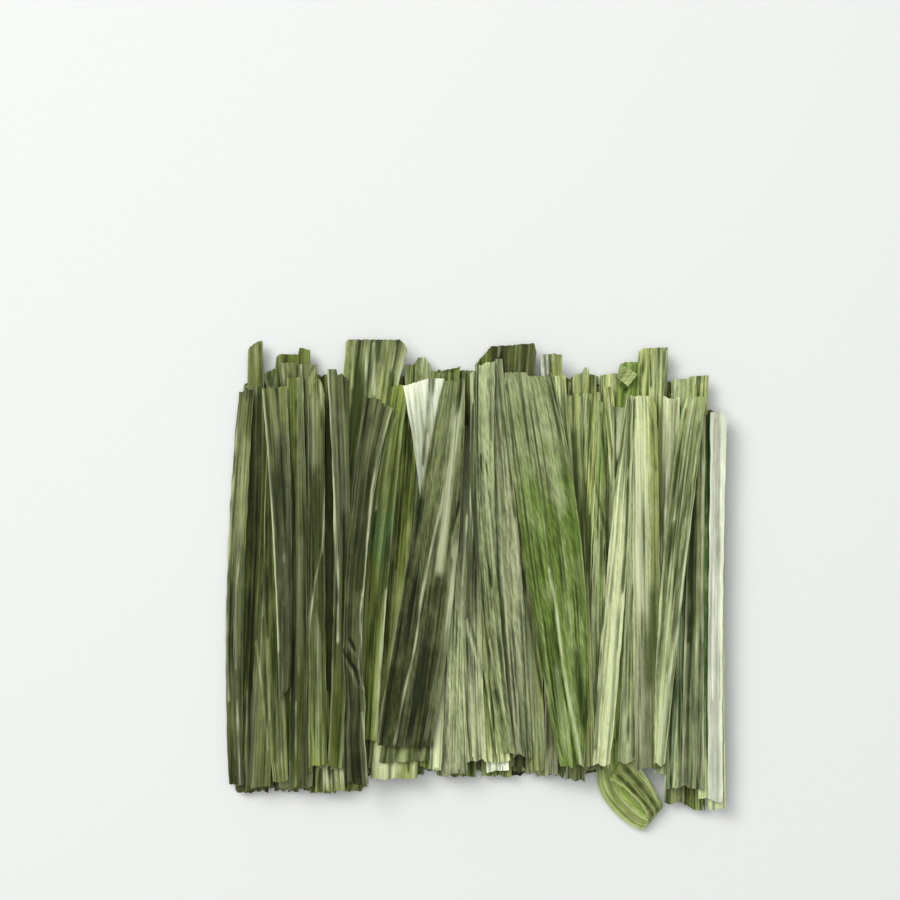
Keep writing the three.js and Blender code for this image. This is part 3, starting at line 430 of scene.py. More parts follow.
    "left_back_leaf": dict(tone="olive", second="lightOlive", reach=0.4, splits=0, shade=(0.8, 0.8, 0.8),
        topShape=[(0, -1.6), (0.3, -0.2), (0.7, 1.2), (1, 1.4)], stripes=[
        (-0.6, 0.4, [(-80.3, 88.4), (-80.3, 73.6)]), (0.4, 0.7, [(-82.1, 88.4), (-82.1, 81)])]),
    "dark_back_leaf": dict(tone="olive", second="greyOlive", splits=0, shade=(1.05, 1.05, 1.35),
        topShape=[(0, -9), (0.1, -7.4), (0.25, -6.4), (0.27, -2.2), (0.36, -1), (0.75, -1.1), (0.78, 1.5),
                  (1, 0.4)],
        stripes=[
        (-0.8, 0.7, [(-70.3, 85.1), (-70.7, 82.1)]), (-0.9, 0.4, [(-64.8, 87), (-64.8, 81.8)]),
        (0.4, 0.6, [(-63.6, 86.6), (-63.6, 81.8)]), (-0.6, 0.4, [(-74.4, 82.9), (-75.8, 73.6)]),
        (-0.8, 1.1, [(-77, 80.7), (-77, 72.5)])]),
    "small_back_leaf": dict(tone="greyOlive", second="lightOlive", reach=0.4, splits=0,
        shade=(0.95, 0.95, 0.95), topShape=[(0, 0.3), (0.5, 0.2), (0.53, -0.3), (1, -0.4)], stripes=[
        (0.9, 1.1, [(-71.8, 82.1), (-71.4, 73.3)]), (-1, 0.9, [(-69.2, 79.9), (-69.2, 73.3)]),
        (-0.9, 0.6, [(-66.6, 80.7), (-66.6, 73.3)]), (0.7, 0.4, [(-65.1, 81.4), (-65.1, 76.2)]),
        (-1, 0.6, [(-60.7, 80.7), (-62.2, 77)]), (0.6, 0.6, [(-59.6, 80.7), (-60.7, 77)])]),
    "pale_back_leaf": dict(tone="sage", second="lightOlive", shade=(0.95, 0.95, 0.95),
        topShape=[(0, -2), (0.35, -1.6), (0.5, 0.8), (0.75, 1), (1, -2)], stripes=[
        (-0.8, 0.9, [(-24.4, 77), (-18.1, 77.7)]), (0.5, 0.7, [(-20.7, 82.1), (-20.4, 77.7)])]),
    "olive_back_leaf": dict(tone="olive", second="sage", shade=(1, 1, 1.35), stripes=[
        (-0.7, 0.6, [(-12.9, 79.2), (-7, 79.9)])]),
    "dark_flap_leaf": dict(tone="darkOlive", second="olive", where="left", reach=0.35, splits=0,
        shade=(1.1, 1.1, 1.1), topShape=[(0, -7), (0.26, 0), (0.4, 0.2), (0.95, 1.2), (1, -2)], stripes=[
        (-0.6, 1.9, [(16.6, 86.6), (16.6, 79.9)]), (0.4, 0.6, [(8.5, 88.1), (7.8, 84.4)])]),
    "ragged_back_leaf": dict(tone="lightOlive", second="sage", shade=(1, 1.2, 1.2),
        topShape=[(0, -1.5), (0.4, -0.5), (0.5, 1.5), (0.62, 1.5), (0.7, -1), (1, -1.5)], stripes=[
        (-0.8, 0.7, [(41.8, 77), (41.4, 71)]), (0.6, 0.6, [(39.6, 78.4), (39.2, 74)])]),
    "green_back_leaf": dict(tone="sage", second="lightOlive", reach=0.4, splits=0, shade=(1.15, 1.15, 1.15),
        stripes=[
        (0.6, 0.6, [(52.5, 74), (52.2, 69.6)])]),
    "right_folded_tip": dict(tone="leafGreen", second="lightOlive", reach=0.3, splits=0,
        shade=(1.1, 1.1, 1.35), topShape=[(0, -1), (0.08, 2.4), (0.3, 3.2), (1, 3.2)], stripes=[
        (-0.9, 1.1, [(56.2, 81), (60.3, 79.2)]), (-1, 1.3, [(59.9, 77), (57.4, 72.5)]),
        (0.6, 0.6, [(53.6, 81.4), (53.3, 78.4)]), (-1, 0.7, [(51.4, 76.2), (55.1, 72.2)]),
        (-0.8, 0.6, [(52.2, 80.7), (51.4, 77)])]),
    "tall_back_leaf": dict(tone="lightOlive", second="sage", pleats=1.2, splits=0, shade=(1.15, 1.15, 1.15),
        topShape=[(0, -1.2), (0.15, 0), (1, 0.4)], stripes=[
        (-1, 0.6, [(61.8, 86.6), (61.4, 77.7)]), (0.7, 0.4, [(63.3, 82.9), (63.3, 79.9)]),
        (-1, 0.4, [(64, 84.4), (64.4, 73.3)]), (0.7, 0.9, [(66.2, 85.8), (65.9, 73.3)]),
        (-0.9, 0.4, [(69.2, 86.6), (68.8, 72.5)]), (0.6, 0.4, [(70.3, 86.6), (70.3, 72.5)]),
        # the last dark stripe is a painted shadow at its lower left
        (-0.8, 1.1, [(60.7, 76.2), (59.2, 72.5)])]),
    "right_back_leaf": dict(tone="sage", second="lightOlive", pleats=1.2, shade=(1.1, 1.1, 1.1),
        topShape=[(0, -1.2), (0.45, -0.6), (0.5, 0.2), (1, 0.6)], stripes=[
        (-0.9, 0.7, [(79.2, 76.2), (79.2, 70.7)]), (-1, 0.7, [(81.8, 77), (81.8, 69.9)]),
        (0.6, 0.9, [(83.6, 76.2), (83.6, 71)]), (0.6, 0.6, [(74, 75.5), (74, 73.3)]),
        (-0.6, 0.4, [(72.2, 75.5), (71.8, 69.6)])]),
}

# The leaf whose foot curls back on itself, as points of its left and right edges. A stripe is
# (strength, place across, half width), both as parts of the leaf's width.
curledLeaf = {
    "number": 300,
    "tone": "lightOlive",
    "second": "leafGreen",
    "left": [(45, -18, 7), (45.2, -56, 6.8), (44.6, -66, 5.2), (45, -74.4, 2.8), (48, -81, 1.3),
             (54.4, -87.4, 1), (60.6, -90.6, 1.6), (63.2, -87.8, 4.8), (61.9, -83.9, 7.6),
             (57.8, -78.9, 9), (53.2, -74.9, 9.8), (48.6, -72.4, 10.2)],
    "right": [(53, -18, 7), (53.6, -54, 6.8), (53.8, -61, 5.6), (54.6, -66.5, 3.8), (57, -72.5, 2.2),
              (61.6, -78.4, 1.4), (66.4, -82.6, 1.8), (68.6, -82, 4.4), (67.8, -79.6, 7),
              (64.6, -73.8, 8.9), (60.4, -67.6, 10), (56.4, -62, 10.6)],
    "width": 9.5,
    "length": 105,
    "columns": 30,
    "rows": 150,
    "turn": (0.6, 0.08),        # where along the leaf it turns back, and in how much of its length
    "lip": 3.0,                 # how far the lower arm stands up along its outer side
    "ribPeriod": 0.9,
    "ribDepth": 0.06,
    "crinkle": 0.2,
    "crest": 0.45,
    "within": 0.46,             # past this part of the width one looks into the loop
    "withinFade": 0.8,
    # brightness inside the loop, painted light
    "withinShade": 1.6,
    "shade": 1.15,
    "reach": 0.35,
    "upperStripes": [(0.3, 0.08, 0.08), (-0.95, 0.25, 0.07), (0.75, 0.4, 0.035), (-0.95, 0.58, 0.12),
                     (0.5, 0.8, 0.1), (0.8, 0.96, 0.03)],
    "lowerStripes": [(0.35, 0.12, 0.12), (0.9, 0.39, 0.03), (-0.8, 0.47, 0.03)],
}

# The small folded corner, a lozenge that lies on its leaf
tipFlap = {
    "node": "right_folded_tip",
    "number": 310,
    "corners": [(54.4, 80.7, 13.6), (59.4, 77.7, 13.2), (55.9, 73.2, 13.2), (51.8, 76.8, 14)],
    "side": 5.5,
    "cell": (0.3, 0.3),
    "ribs": 2.5,
    "ribDepth": 0.1,
    "crinkle": 0.4,
    "shade": 1.1,
}

# The hidden layers: strips tilted to and fro, in two sheets a layer. Left and right are the x of
# the sides at the top, half way and at the foot, top and foot are outlines.
bed = {
    "layers": 3,
    "sheets": 2,
    "sheetPitch": 1.02,
    "strips": 18,
    "left": (-86.5, -90, -89.5),
    "right": (88, 89.5, 89.5),
    "top": [(-93, 70), (-40, 76), (20, 76), (45, 73.5), (74, 72), (80, 65), (93, 56)],
    "foot": [(-93, -74), (-80, -79.5), (-66, -78.5), (-55, -79.5), (-48, -75.5), (-38, -72), (32, -72.5),
             (38, -69), (43, -61), (70, -61), (75, -76), (93, -79)],
    "overlap": 0.9,             # how far a strip reaches past the edge that it shares
    "fan": 3.2,                 # how much more than that it reaches at one end, and less at the other
    "unevenness": 5,
    "lean": 3.5,
    "stagger": 7,
    "rise": 0.55,               # height of the raised edges above the low ones
    "step": 0.22,
    "pleat": (0.22, 3),         # height and width
    "crinkle": (0.08, 2, 6),    # height, width and length
    "margin": 0.25,
    "tear": (1.4, 1.5),         # depth and width of the torn ends
    "endStep": (1.8, 2.8),
    "endReach": 4,
    "lightEnd": 12,             # the strips are painted in shade but for this length at their ends, as they lie deep under the leaves
    "splits": 0.6,
    "reach": 0.4,
    "tones": [("greyOlive", "sage"), ("olive", "lightOlive"), ("lightOlive", "olive"),
              ("darkOlive", "greyOlive")],
    "slots": ["grey_olive_leaf", "olive_leaf", "light_olive_leaf"],
}

# What each point of a leaf remembers for its material: the painted light and shade of its relief, the
# second tone's share, its stripes, its shade and a seed
marks = ("ridge", "fade", "accent", "shade", "seed")

# Mesh fineness in millimetres across and along, for leaves that show and for hidden ones
fineCell = (0.34, 1.7)
hiddenCell = (0.95, 4.0)

# The leaf's own map counts these millimetres as one
mapSize = (100, 200)

# Tones of dried leaf, as they look in daylight
tones = {
    "darkOlive": (66, 72, 38),
    "olive": (100, 110, 52),
    "lightOlive": (140, 150, 89),
    "greyOlive": (108, 115, 76),
    "sage": (148, 157, 112),
    "paleSage": (188, 196, 147),
    "cream": (224, 229, 204),
    "leafGreen": (106, 128, 58),
    "deepGreen": (56, 80, 40),
    "jade": (92, 118, 66),
    "tealGreen": (98, 140, 98),
}

# What all leaf materials share
finish = {
    "specular": 0.12,
    "bumpStrength": 0.55,
    "bumpHeight": 0.25,         # millimetres
    "paleStreak": ((212, 219, 176), 0.5),   # colour, and how much of it is in the pale streaks
    # the pale stripes and rims, partly painted highlights: colour, and how much of it is in them
    "paleStripe": ((214, 221, 180), 0.75),
    "darkStripe": (0.4, 0.43, 0.32),        # the share of the tone's red, green, blue in the dark stripes and in the painted shade of the grooves
    "texture": 0.85,
    "toneTexture": {"cream": 0.35, "sage": 1.1, "lightOlive": 1.1},
    "plainWeave": 0.16,
    "crossedWeave": 0.52,
}


def linear(colour):
    # screen colour from 0 to 255 to the linear values that Blender's shaders take
    return tuple(pow(c / 255, 2.2) for c in colour) + (1.0,)


def clamp(value, low=0, high=1):
    return min(high, max(low, value))


def mix(a, b, t):
    return a + (b - a) * t


def through(top, middle, foot, t):
    # a smooth curve through three values
    return top * (1 - t) * (1 - 2 * t) + middle * 4 * t * (1 - t) + foot * t * (2 * t - 1)


def bump(distance, width):
    return math.exp(-(distance / width) ** 2)


def draw(leaf, feature):
    # a repeatable number from 0 to 1 for one feature of one leaf
    value = math.sin(leaf * 12.9898 + feature * 78.233) * 43758.5453
    return value - math.floor(value)


def wander(number, a, b=0.0):
    # smooth noise from -1 to 1, another one for each number or fraction of it
    return noise.noise(Vector((a, b, number * 7.31)))


def alongLine(points, x):
    for a, b in zip(points, points[1:]):
        if x <= b[0]:
            break
    return mix(a[1], b[1], (x - a[0]) / (b[0] - a[0]))


def between(knots, values, u, soft):
    # the value at u of a line through the knots, rounded where soft is 1
    j = 0
    while j < len(knots) - 2 and u > knots[j + 1]:
        j += 1
    f = clamp((u - knots[j]) / (knots[j + 1] - knots[j]))
    smooth = f * f * (3 - 2 * f)
    return mix(values[j], values[j + 1], mix(f, smooth, soft))


def splinePoint(points, t):
    # a smooth curve through the points
    place = t * (len(points) - 1)
    i = min(int(place), len(points) - 2)
    f = place - i
    p0, p1 = Vector(points[max(i - 1, 0)]), Vector(points[i])
    p2, p3 = Vector(points[i + 1]), Vector(points[min(i + 2, len(points) - 1)])
    square = (2 * p0 - 5 * p1 + 4 * p2 - p3) * f ** 2
    return 0.5 * (2 * p1 + (p2 - p0) * f + square + (3 * p1 - p0 - 3 * p2 + p3) * f ** 3)


def distanceTo(line, x, y):
    # how far a point lies from a line of points
    best = 1000
    for (ax, ay), (bx, by) in zip(line, line[1:]):
        dx, dy = bx - ax, by - ay
        t = clamp(((x - ax) * dx + (y - ay) * dy) / (dx * dx + dy * dy))
        best = min(best, math.hypot(x - ax - t * dx, y - ay - t * dy))
    return best


def swell(x, y):
    # the bunch is lower towards its sides and ends
    across = bunch["sagAcross"] * (x / bunch["halfWidth"]) ** 4
    return 1 - across - bunch["sagAlong"] * (y / bunch["halfLength"]) ** 4


def seen(x, y, z):
    # what lies lower is further out than it looks from above
    eyeX, eyeY, eyeZ = bunch["eye"]
    out = (eyeZ - z) / (eyeZ - bunch["level"])
    return eyeX + (x - eyeX) * out, eyeY + (y - eyeY) * out, z


def fadeAt(look, number, u, v):
    # how far the second tone has taken over
    where, reach = look.get("where", "patches"), look.get("reach", 0.5)
    ripple = 0.5 * wander(number + 0.3, v * 6, u * 2.5)
    if where == "top":
        return clamp(1.3 - v / reach + ripple)
    if where == "foot":
        return clamp(1.3 - (1 - v) / reach + ripple)
    if where == "middle":
        return clamp(1.4 - abs(v - 0.42) / reach * 2.4 + ripple)
    if where == "left":
        return clamp((reach - u) * 6 + ripple)
    if where == "right":
        return clamp((u - 1 + reach) * 6 + ripple)
    return clamp(reach + 2.2 * wander(number + 0.6, v * 3.2, u * 1.6))


def stripeFade(line, half, x, y):
    # broad bands fade out over a few widths at their ends
    toEnd = min(math.hypot(x - line[0][0], y - line[0][1]), math.hypot(x - line[-1][0], y - line[-1][1]))
    return 1 if half < 0.8 else min(1, toEnd / (4 * half))


def accentAt(look, number, x, y):
    # pale stripes count up from nought, dark ones down
    accent = 0.0
    for strength, half, line in look.get("stripes", []):
        distance = distanceTo(line, x, y)
        if distance < 3 * half:
            patchy = 0.8 + (0.9 if half < 0.8 else 0.25) * wander(number + strength, y / 9, 1)
            wavy = 0.3 * half * wander(number, y / 5, 5)
            accent += strength * patchy * stripeFade(line, half, x, y) * bump(distance + wavy, half)
    return clamp(accent, -1)


def rimAt(number, u, v, edge):
    # the rims are paler here and there
    side = 1 if u < 0.5 else 2
    patchy = max(0, draw(number, side + 70) + 0.7 * wander(number + side, v * 8))
    return 0.5 * patchy * bump(edge, relief["rim"])


def leafPlan(row, look, number):
    # everything about one leaf that its points are worked out from
    node, layer, topY, top, middle, footY, foot, folds = row
    columns = folds * 2
    depth = look.get("depth", bunch["foldDepth"])
    flip = 1 if draw(number, 90) > 0.6 else 0
    knots, heights = [], []
    for j in range(columns + 1):
        inside = 0 < j < columns
        knots.append((j + (0.5 * (draw(number, j + 20) - 0.5) if inside else 0)) / columns)
        tall = (j + flip) % 2
        heights.append(depth * (0.7 + 0.3 * draw(number, j) if tall else 0.2 * draw(number, j)))
    widths = [abs(right - left) for left, right in (top, middle, foot)]
    return {
        "number": number, "layer": layer, "look": look,
        "topY": topY, "top": top, "middle": middle, "footY": footY, "foot": foot,
        "length": topY - footY,
        "width": (widths[0] + 4 * widths[1] + widths[2]) / 6,
        "knots": knots, "heights": heights,
        "period": mix(*relief["pleatPeriod"], draw(number, 95)),
        "topJags": [bunch["raggedness"] * draw(number, j + 40) for j in range(columns + 1)],
        "footJags": [bunch["raggedness"] * draw(number, j + 60) for j in range(columns + 1)],
    }


def stepped(number, section, end):
    # each pleat of a cut end is a little longer or shorter than the next
    i = math.floor(section)
    sharp = clamp((section - i - 0.8) / 0.2)
    return relief["endStep"] * mix(draw(number + i, end + 150), draw(number + i + 1, end + 150), sharp)


def endShift(plan, across, u, v):
    # how far the slant, the steps and the torn fibres of the cut ends move a point along the leaf
    number, look = plan["number"], plan["look"]
    fromTop = v * plan["length"]
    fromFoot = plan["length"] - fromTop
    section = across / plan["period"] + relief["pleatDrift"] * wander(number, v * 2.6, 0.3)
    level = 0.4 * bunch["raggedness"]
    shift = 0
    if fromTop < bunch["bendLength"]:
        if "topShape" in look:
            tip = alongLine(look["topShape"], u)
        else:
            tip = level - between(plan["knots"], plan["topJags"], u, 0)
            shift -= stepped(number, section, 1) * bump(fromTop, relief["stepReach"])
        shift += tip * (1 - fromTop / bunch["bendLength"])
    if fromFoot < bunch["bendLength"]:
        tip = look.get("footSlant", 0) * (u - 0.5) + between(plan["knots"], plan["footJags"], u, 0)
        shift += (tip - level) * (1 - fromFoot / bunch["bendLength"])
        shift += stepped(number, section, 2) * bump(fromFoot, relief["stepReach"])
    torn = sum(depth * wander(number, across / wide, kind) for depth, wide, kind in relief["tears"])
    return shift + torn * (bump(fromTop, relief["tearReach"]) + bump(fromFoot, relief["tearReach"]))


def rough(name, number, across, along):
    # one kind of unevenness of the blade
    height, wide, long = relief[name]
    return height * wander(number, across / wide, along / long)


def atEdge(name, number, edge, along):
    # one kind of unevenness of the blade's side edges
    height, reach, long = relief[name]
    return height * wander(number, along / long) * bump(edge, reach)


def leafPoint(plan, u, v):
    # one point of a leaf in millimetres, with how high it stands in its pleats, for the painted light and
    # shade of its relief, and its colour masks
    number, look = plan["number"], plan["look"]
    left, right = (through(plan["top"][i], plan["middle"][i], plan["foot"][i], v) for i in (0, 1))
    width = right - left
    across = (u - 0.5) * width
    edge = min(u, 1 - u) * width
    side = 0.2 if u < 0.5 else 0.8
    y = mix(plan["topY"], plan["footY"], v)
    kink = bump(y - look.get("kinkY", 0), relief["kinkReach"])
    x = left + width * u + look.get("kinkShift", 0) * kink + atEdge("margin", number + side, edge, y)
    y += endShift(plan, across, u, v)

    calm = min(1, 0.3 + edge)
    band = wander(number + 0.5, across / relief["bandWidth"], v * 2.2)
    thread = wander(number + 0.2, across / relief["threadWidth"], v * 5)
    ridged = clamp(0.5 + 0.95 * band + 0.4 * thread)
    rib = math.sin(2 * math.pi * (across / relief["ribPeriod"] + 0.6 * wander(number, v * 4, 9)))
    rib *= 0.7 + 0.6 * wander(number + 0.1, v * 9, across / 2)
    crinkle = rough("crinkle", number + 0.7, across, y)
    accent = accentAt(look, number, x, y)
    fine = look.get("pleats", 1) * relief["pleatDepth"] * (ridged - 0.5) + relief["ribDepth"] * rib
    height = (fine + crinkle + relief["crest"] * accent) * calm
    height += rough("buckle", number + 0.35, across, y) + atEdge("curl", number + side + 0.4, edge, y)
    height += relief["tilt"] * (u - 0.5) * 2 * wander(number + 0.15, v * 3)
    fold = between(plan["knots"], plan["heights"], u, 0.5) * (0.8 + 0.2 * math.sin(5 * v + number))
    height += fold + relief["wave"] * math.sin(9 * v + 6 * draw(number, 80))
    height += plan["layer"] * bunch["layerPitch"] + bunch["layerGap"] + bunch["rise"] + look.get("lift", 0)
    z = height * swell(x, y) + look.get("kinkRise", 0) * kink
    z -= look.get("droop", 0) * clamp((abs(x) - bunch["droopFrom"]) / bunch["droopWidth"]) ** 2

    # painted light and shade of the relief, from how high the bands, ribs, crinkles and folds stand
    ridge = 0.1 + 0.75 * ridged + 0.1 * rib + 0.2 * crinkle / relief["crinkle"][0]
    ridge = mix(0.6, ridge + 0.12 * fold / bunch["foldDepth"], look.get("grain", 1))
    # the leaf's shade: partly its own lighter and darker parts, partly painted light and shade
    shade = through(*look.get("shade", (1, 1, 1)), v) ** 2.2
    accent = min(1, accent + rimAt(number, u, v, edge))
    return seen(x, y, z), (ridge, fadeAt(look, number, u, v), accent, shade)


def slitsOf(number, count, columns):
    # a few slits at the top and at the foot, as (end, column, depth)
    shallow, deep = relief["slitDepth"]
    slits = []
    for end in (0, 1):
        for i in range(count):
            column = int(draw(number + end * 0.5, 110 + i) * columns)
            slits.append((end, column, mix(shallow, deep, draw(number + end * 0.5, 130 + i) ** 2)))
    return slits


def growLeaf(bm, number, width, length, cell, place, splits=0.5, material=0):
    # bends a flat grid into one leaf, and tears a few slits into its ends
    columns = max(6, round(width / cell[0]))
    rows = max(8, round(length / cell[1]))
    layers = [bm.verts.layers.float[name] for name in marks]
    leafMap = bm.loops.layers.uv["leafMap"]
    verts = bmesh.ops.create_grid(bm, x_segments=columns, y_segments=rows, size=0.5)["verts"]
    faces = {face for vert in verts for face in vert.link_faces}
    flat = {vert: (vert.co.x + 0.5, 0.5 - vert.co.y) for vert in verts}
    slits = slitsOf(number, round(splits * width / relief["slitSpacing"]), columns)
    for face in faces:
        middle = face.calc_center_median()
        column = int((middle.x + 0.5) * columns)
        fromEnd = ((0.5 - middle.y) * length, (0.5 + middle.y) * length)
        face.smooth = True
        face.material_index = material
        for loop in face.loops:
            u, v = flat[loop.vert]
            loop[leafMap].uv = (0.5 + (u - 0.5) * width / mapSize[0], v * length / mapSize[1])
        face.tag = any(column == slit and fromEnd[end] < depth for end, slit, depth in slits)
    bmesh.ops.delete(bm, geom=[face for face in faces if face.tag], context="FACES")
    for vert, (u, v) in flat.items():
        if vert.is_valid:
            (x, y, z), masks = place(u, v)
            vert.co = ((x + bunch["shiftX"]) * mm, (y + bunch["shiftY"]) * mm, z * mm)
            for layer, value in zip(layers, (*masks, draw(number, 200) * 10)):
                vert[layer] = value


def newLeafMesh():
    bm = bmesh.new()
    for name in marks:
        bm.verts.layers.float.new(name)
    bm.loops.layers.uv.new("leafMap")
    return bm


def pieceName(node):
    words = node.split("_")
    return words[0] + "".join(word.capitalize() for word in words[1:])


def finishPiece(bm, node, materials):
    # the rims stay crisp, and the blade gets its thickness below
    for edge in bm.edges:
        edge.smooth = not edge.is_boundary
    mesh = bpy.data.meshes.new(pieceName(node))
    bm.to_mesh(mesh)
    bm.free()
    piece = bpy.data.objects.new(pieceName(node), mesh)
    bpy.context.scene.collection.objects.link(piece)
    for material in materials:
        mesh.materials.append(material)
    blade = piece.modifiers.new("blade", "SOLIDIFY")
    blade.thickness = bunch["blade"] * mm
    blade.offset = -1
    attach(piece, "root")
    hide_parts(node)


def socket(group, name, kind, way):
    group.interface.new_socket(name=name, in_out=way, socket_type="NodeSocket" + kind)


class Wiring:
    # short calls for adding nodes to a tree and joining them

    def __init__(self, tree):
        self.tree = tree

    def add(self, kind, **settings):
        node = self.tree.nodes.new("ShaderNode" + kind)
        for name, value in settings.items():
            setattr(node, name, value)
        return node

    def feed(self, source, target):
        self.tree.links.new(source, target)

    def put(self, values, entries):
        # each value is another node's output or a fixed one
        for value, entry in zip(values, entries):
            if hasattr(value, "is_output"):
                self.feed(value, entry)
            else:
                entry.default_value = value

    def math(self, operation, a, b, clamp=False):
        node = self.add("Math", operation=operation, use_clamp=clamp)
        self.put((a, b), node.inputs)
        return node.outputs[0]

    def blend(self, how, factor, a, b):
        node = self.add("Mix", data_type="RGBA", blend_type=how)
        self.put((factor, a, b), (node.inputs[0], node.inputs[6], node.inputs[7]))
        return node.outputs[2]


# The noises of the fibre group: cells per millimetre across and along, detail, roughness, offset,
# and their share in the height of the surface
fibres = {
    "Streak": (0.5, 0.012, 2, 0.5, 0, 0.8),
    "Vein": (1.5, 0.03, 2, 0.55, 3, 0.7),
    "Blotch": (0.16, 0.08, 3, 0.55, 7, 0),
    "Speck": (1.6, 0.45, 2, 0.6, 11, 0.3),
    "Weave": (1.5, 0.22, 1, 0.5, 17, 0.4),
}
weaveSlant = 0.3


def buildFibreGroup():
    # fine fibres along the leaf, blotches, specks and the height that they give the surface
    group = bpy.data.node_groups.new("leafFibres", "ShaderNodeTree")
    socket(group, "Map", "Vector", "INPUT")
    socket(group, "Seed", "Float", "INPUT")
    for name in (*fibres, "Height"):
        socket(group, name, "Float", "OUTPUT")
    wire = Wiring(group)
    entry = group.nodes.new("NodeGroupInput").outputs
    out = group.nodes.new("NodeGroupOutput").inputs
    slant = wire.add("VectorRotate", rotation_type="Z_AXIS")
    slant.inputs["Angle"].default_value = weaveSlant
    wire.feed(entry["Map"], slant.inputs["Vector"])
    height = 0.0
    for name, (wide, long, detail, rough, offset, share) in fibres.items():
        scaled = wire.add("VectorMath", operation="MULTIPLY_ADD")
        wire.feed(slant.outputs[0] if name == "Weave" else entry["Map"], scaled.inputs[0])
        scaled.inputs[1].default_value = (mapSize[0] * wide, mapSize[1] * long, 1)
        joined = wire.add("CombineXYZ")
        wire.feed(wire.math("MULTIPLY", entry["Seed"], 13.7), joined.inputs[0])
        wire.feed(wire.math("ADD", entry["Seed"], offset), joined.inputs[2])
        wire.feed(joined.outputs[0], scaled.inputs[2])
        texture = wire.add("TexNoise")
        texture.inputs["Scale"].default_value = 1
        texture.inputs["Detail"].default_value = detail
        texture.inputs["Roughness"].default_value = rough
        wire.feed(scaled.outputs[0], texture.inputs["Vector"])
        wire.feed(texture.outputs[0], out[name])
        if share:
            height = wire.math("ADD", height, wire.math("MULTIPLY", texture.outputs[0], share))
    wire.feed(height, out["Height"])
    return group


def buildColourGroup():
    # the leaf's colour from its two tones, its fibres, the painted light and shade of its ridges and
    # grooves, its shade and its pale and dark stripes
    group = bpy.data.node_groups.new("leafColour", "ShaderNodeTree")
    for name in ("Base", "Second", "Pale", "Edge", "Dark"):
        socket(group, name, "Color", "INPUT")
    for name in ("Fade", "Ridge", "Accent", "Shade", *fibres, "Cross", "Texture"):
        socket(group, name, "Float", "INPUT")
    socket(group, "Colour", "Color", "OUTPUT")
    socket(group, "Roughness", "Float", "OUTPUT")
    wire = Wiring(group)
    entry = group.nodes.new("NodeGroupInput").outputs
    out = group.nodes.new("NodeGroupOutput").inputs

    def ramp(value, *limits):
        # from the first two numbers to the last two
        node = wire.add("MapRange", clamp=True)
        wire.feed(value, node.inputs["Value"])
        names = ("From Min", "From Max", "To Min", "To Max")
        wire.put(limits, [node.inputs[name] for name in names])
        return node.outputs[0]

    # the two tones, and the pale streaks
    shifted = wire.math("ADD", entry["Fade"], ramp(entry["Blotch"], 0.3, 0.7, -0.4, 0.4), clamp=True)
    colour = wire.blend("MIX", shifted, entry["Base"], entry["Second"])
    colour = wire.blend("MIX", ramp(entry["Streak"], 0.52, 0.7, 0, 0.45), colour, entry["Pale"])
    # painted shade: grooves are darker than ridges
    streaks = ramp(entry["Streak"], 0.3, 0.7, -0.22, 0.22)
    fine = wire.math("ADD", streaks, ramp(entry["Vein"], 0.36, 0.64, -0.4, 0.4))
    height = wire.math("ADD", entry["Ridge"], wire.math("MULTIPLY", fine, entry["Texture"]))
    colour = wire.blend("MIX", ramp(height, 0.5, -0.15, 0, 0.92), colour, entry["Dark"])
    # the short dashes across the fibres
    cross = wire.math("MULTIPLY", ramp(entry["Weave"], 0.32, 0.68, -1, 1), entry["Cross"])
    dashes = wire.math("ADD", ramp(entry["Speck"], 0.3, 0.7, -0.18, 0.18), cross)
    height = wire.math("ADD", height, wire.math("MULTIPLY", dashes, entry["Texture"]))
    # painted light and shade: the leaf is lighter where its relief and fibres stand high and darker where
    # they sink, times its shade
    light = wire.math("MULTIPLY", ramp(height, 0.1, 1.2, 0.68, 1.4), entry["Shade"])
    light = wire.math("MULTIPLY", light, ramp(entry["Blotch"], 0.35, 0.65, 0.91, 1.09))
    grey = wire.add("CombineColor")
    for channel in grey.inputs[:3]:
        wire.feed(light, channel)
    colour = wire.blend("MULTIPLY", 1.0, colour, grey.outputs[0])
    # the stripes, pale and dark, partly painted highlights and painted shadows
    accent = wire.math("MULTIPLY", entry["Accent"], ramp(entry["Vein"], 0.36, 0.64, 0.65, 1.25))
    pale = wire.math("POWER", ramp(accent, 0, 0.9, 0, 0.95), 1.4)
    colour = wire.blend("MIX", pale, colour, entry["Edge"])
    colour = wire.blend("MIX", ramp(accent, -0.03, -0.8, 0, 0.96), colour, entry["Dark"])
    wire.feed(colour, out["Colour"])
    wire.feed(ramp(entry["Streak"], 0.3, 0.7, 0.6, 0.85), out["Roughness"])
    return group


fibreGroup = buildFibreGroup()
colourGroup = buildColourGroup()
leafMaterials = {}


def toned(base, colour, share):
    return linear([mix(c, p, share) for c, p in zip(base, colour)])


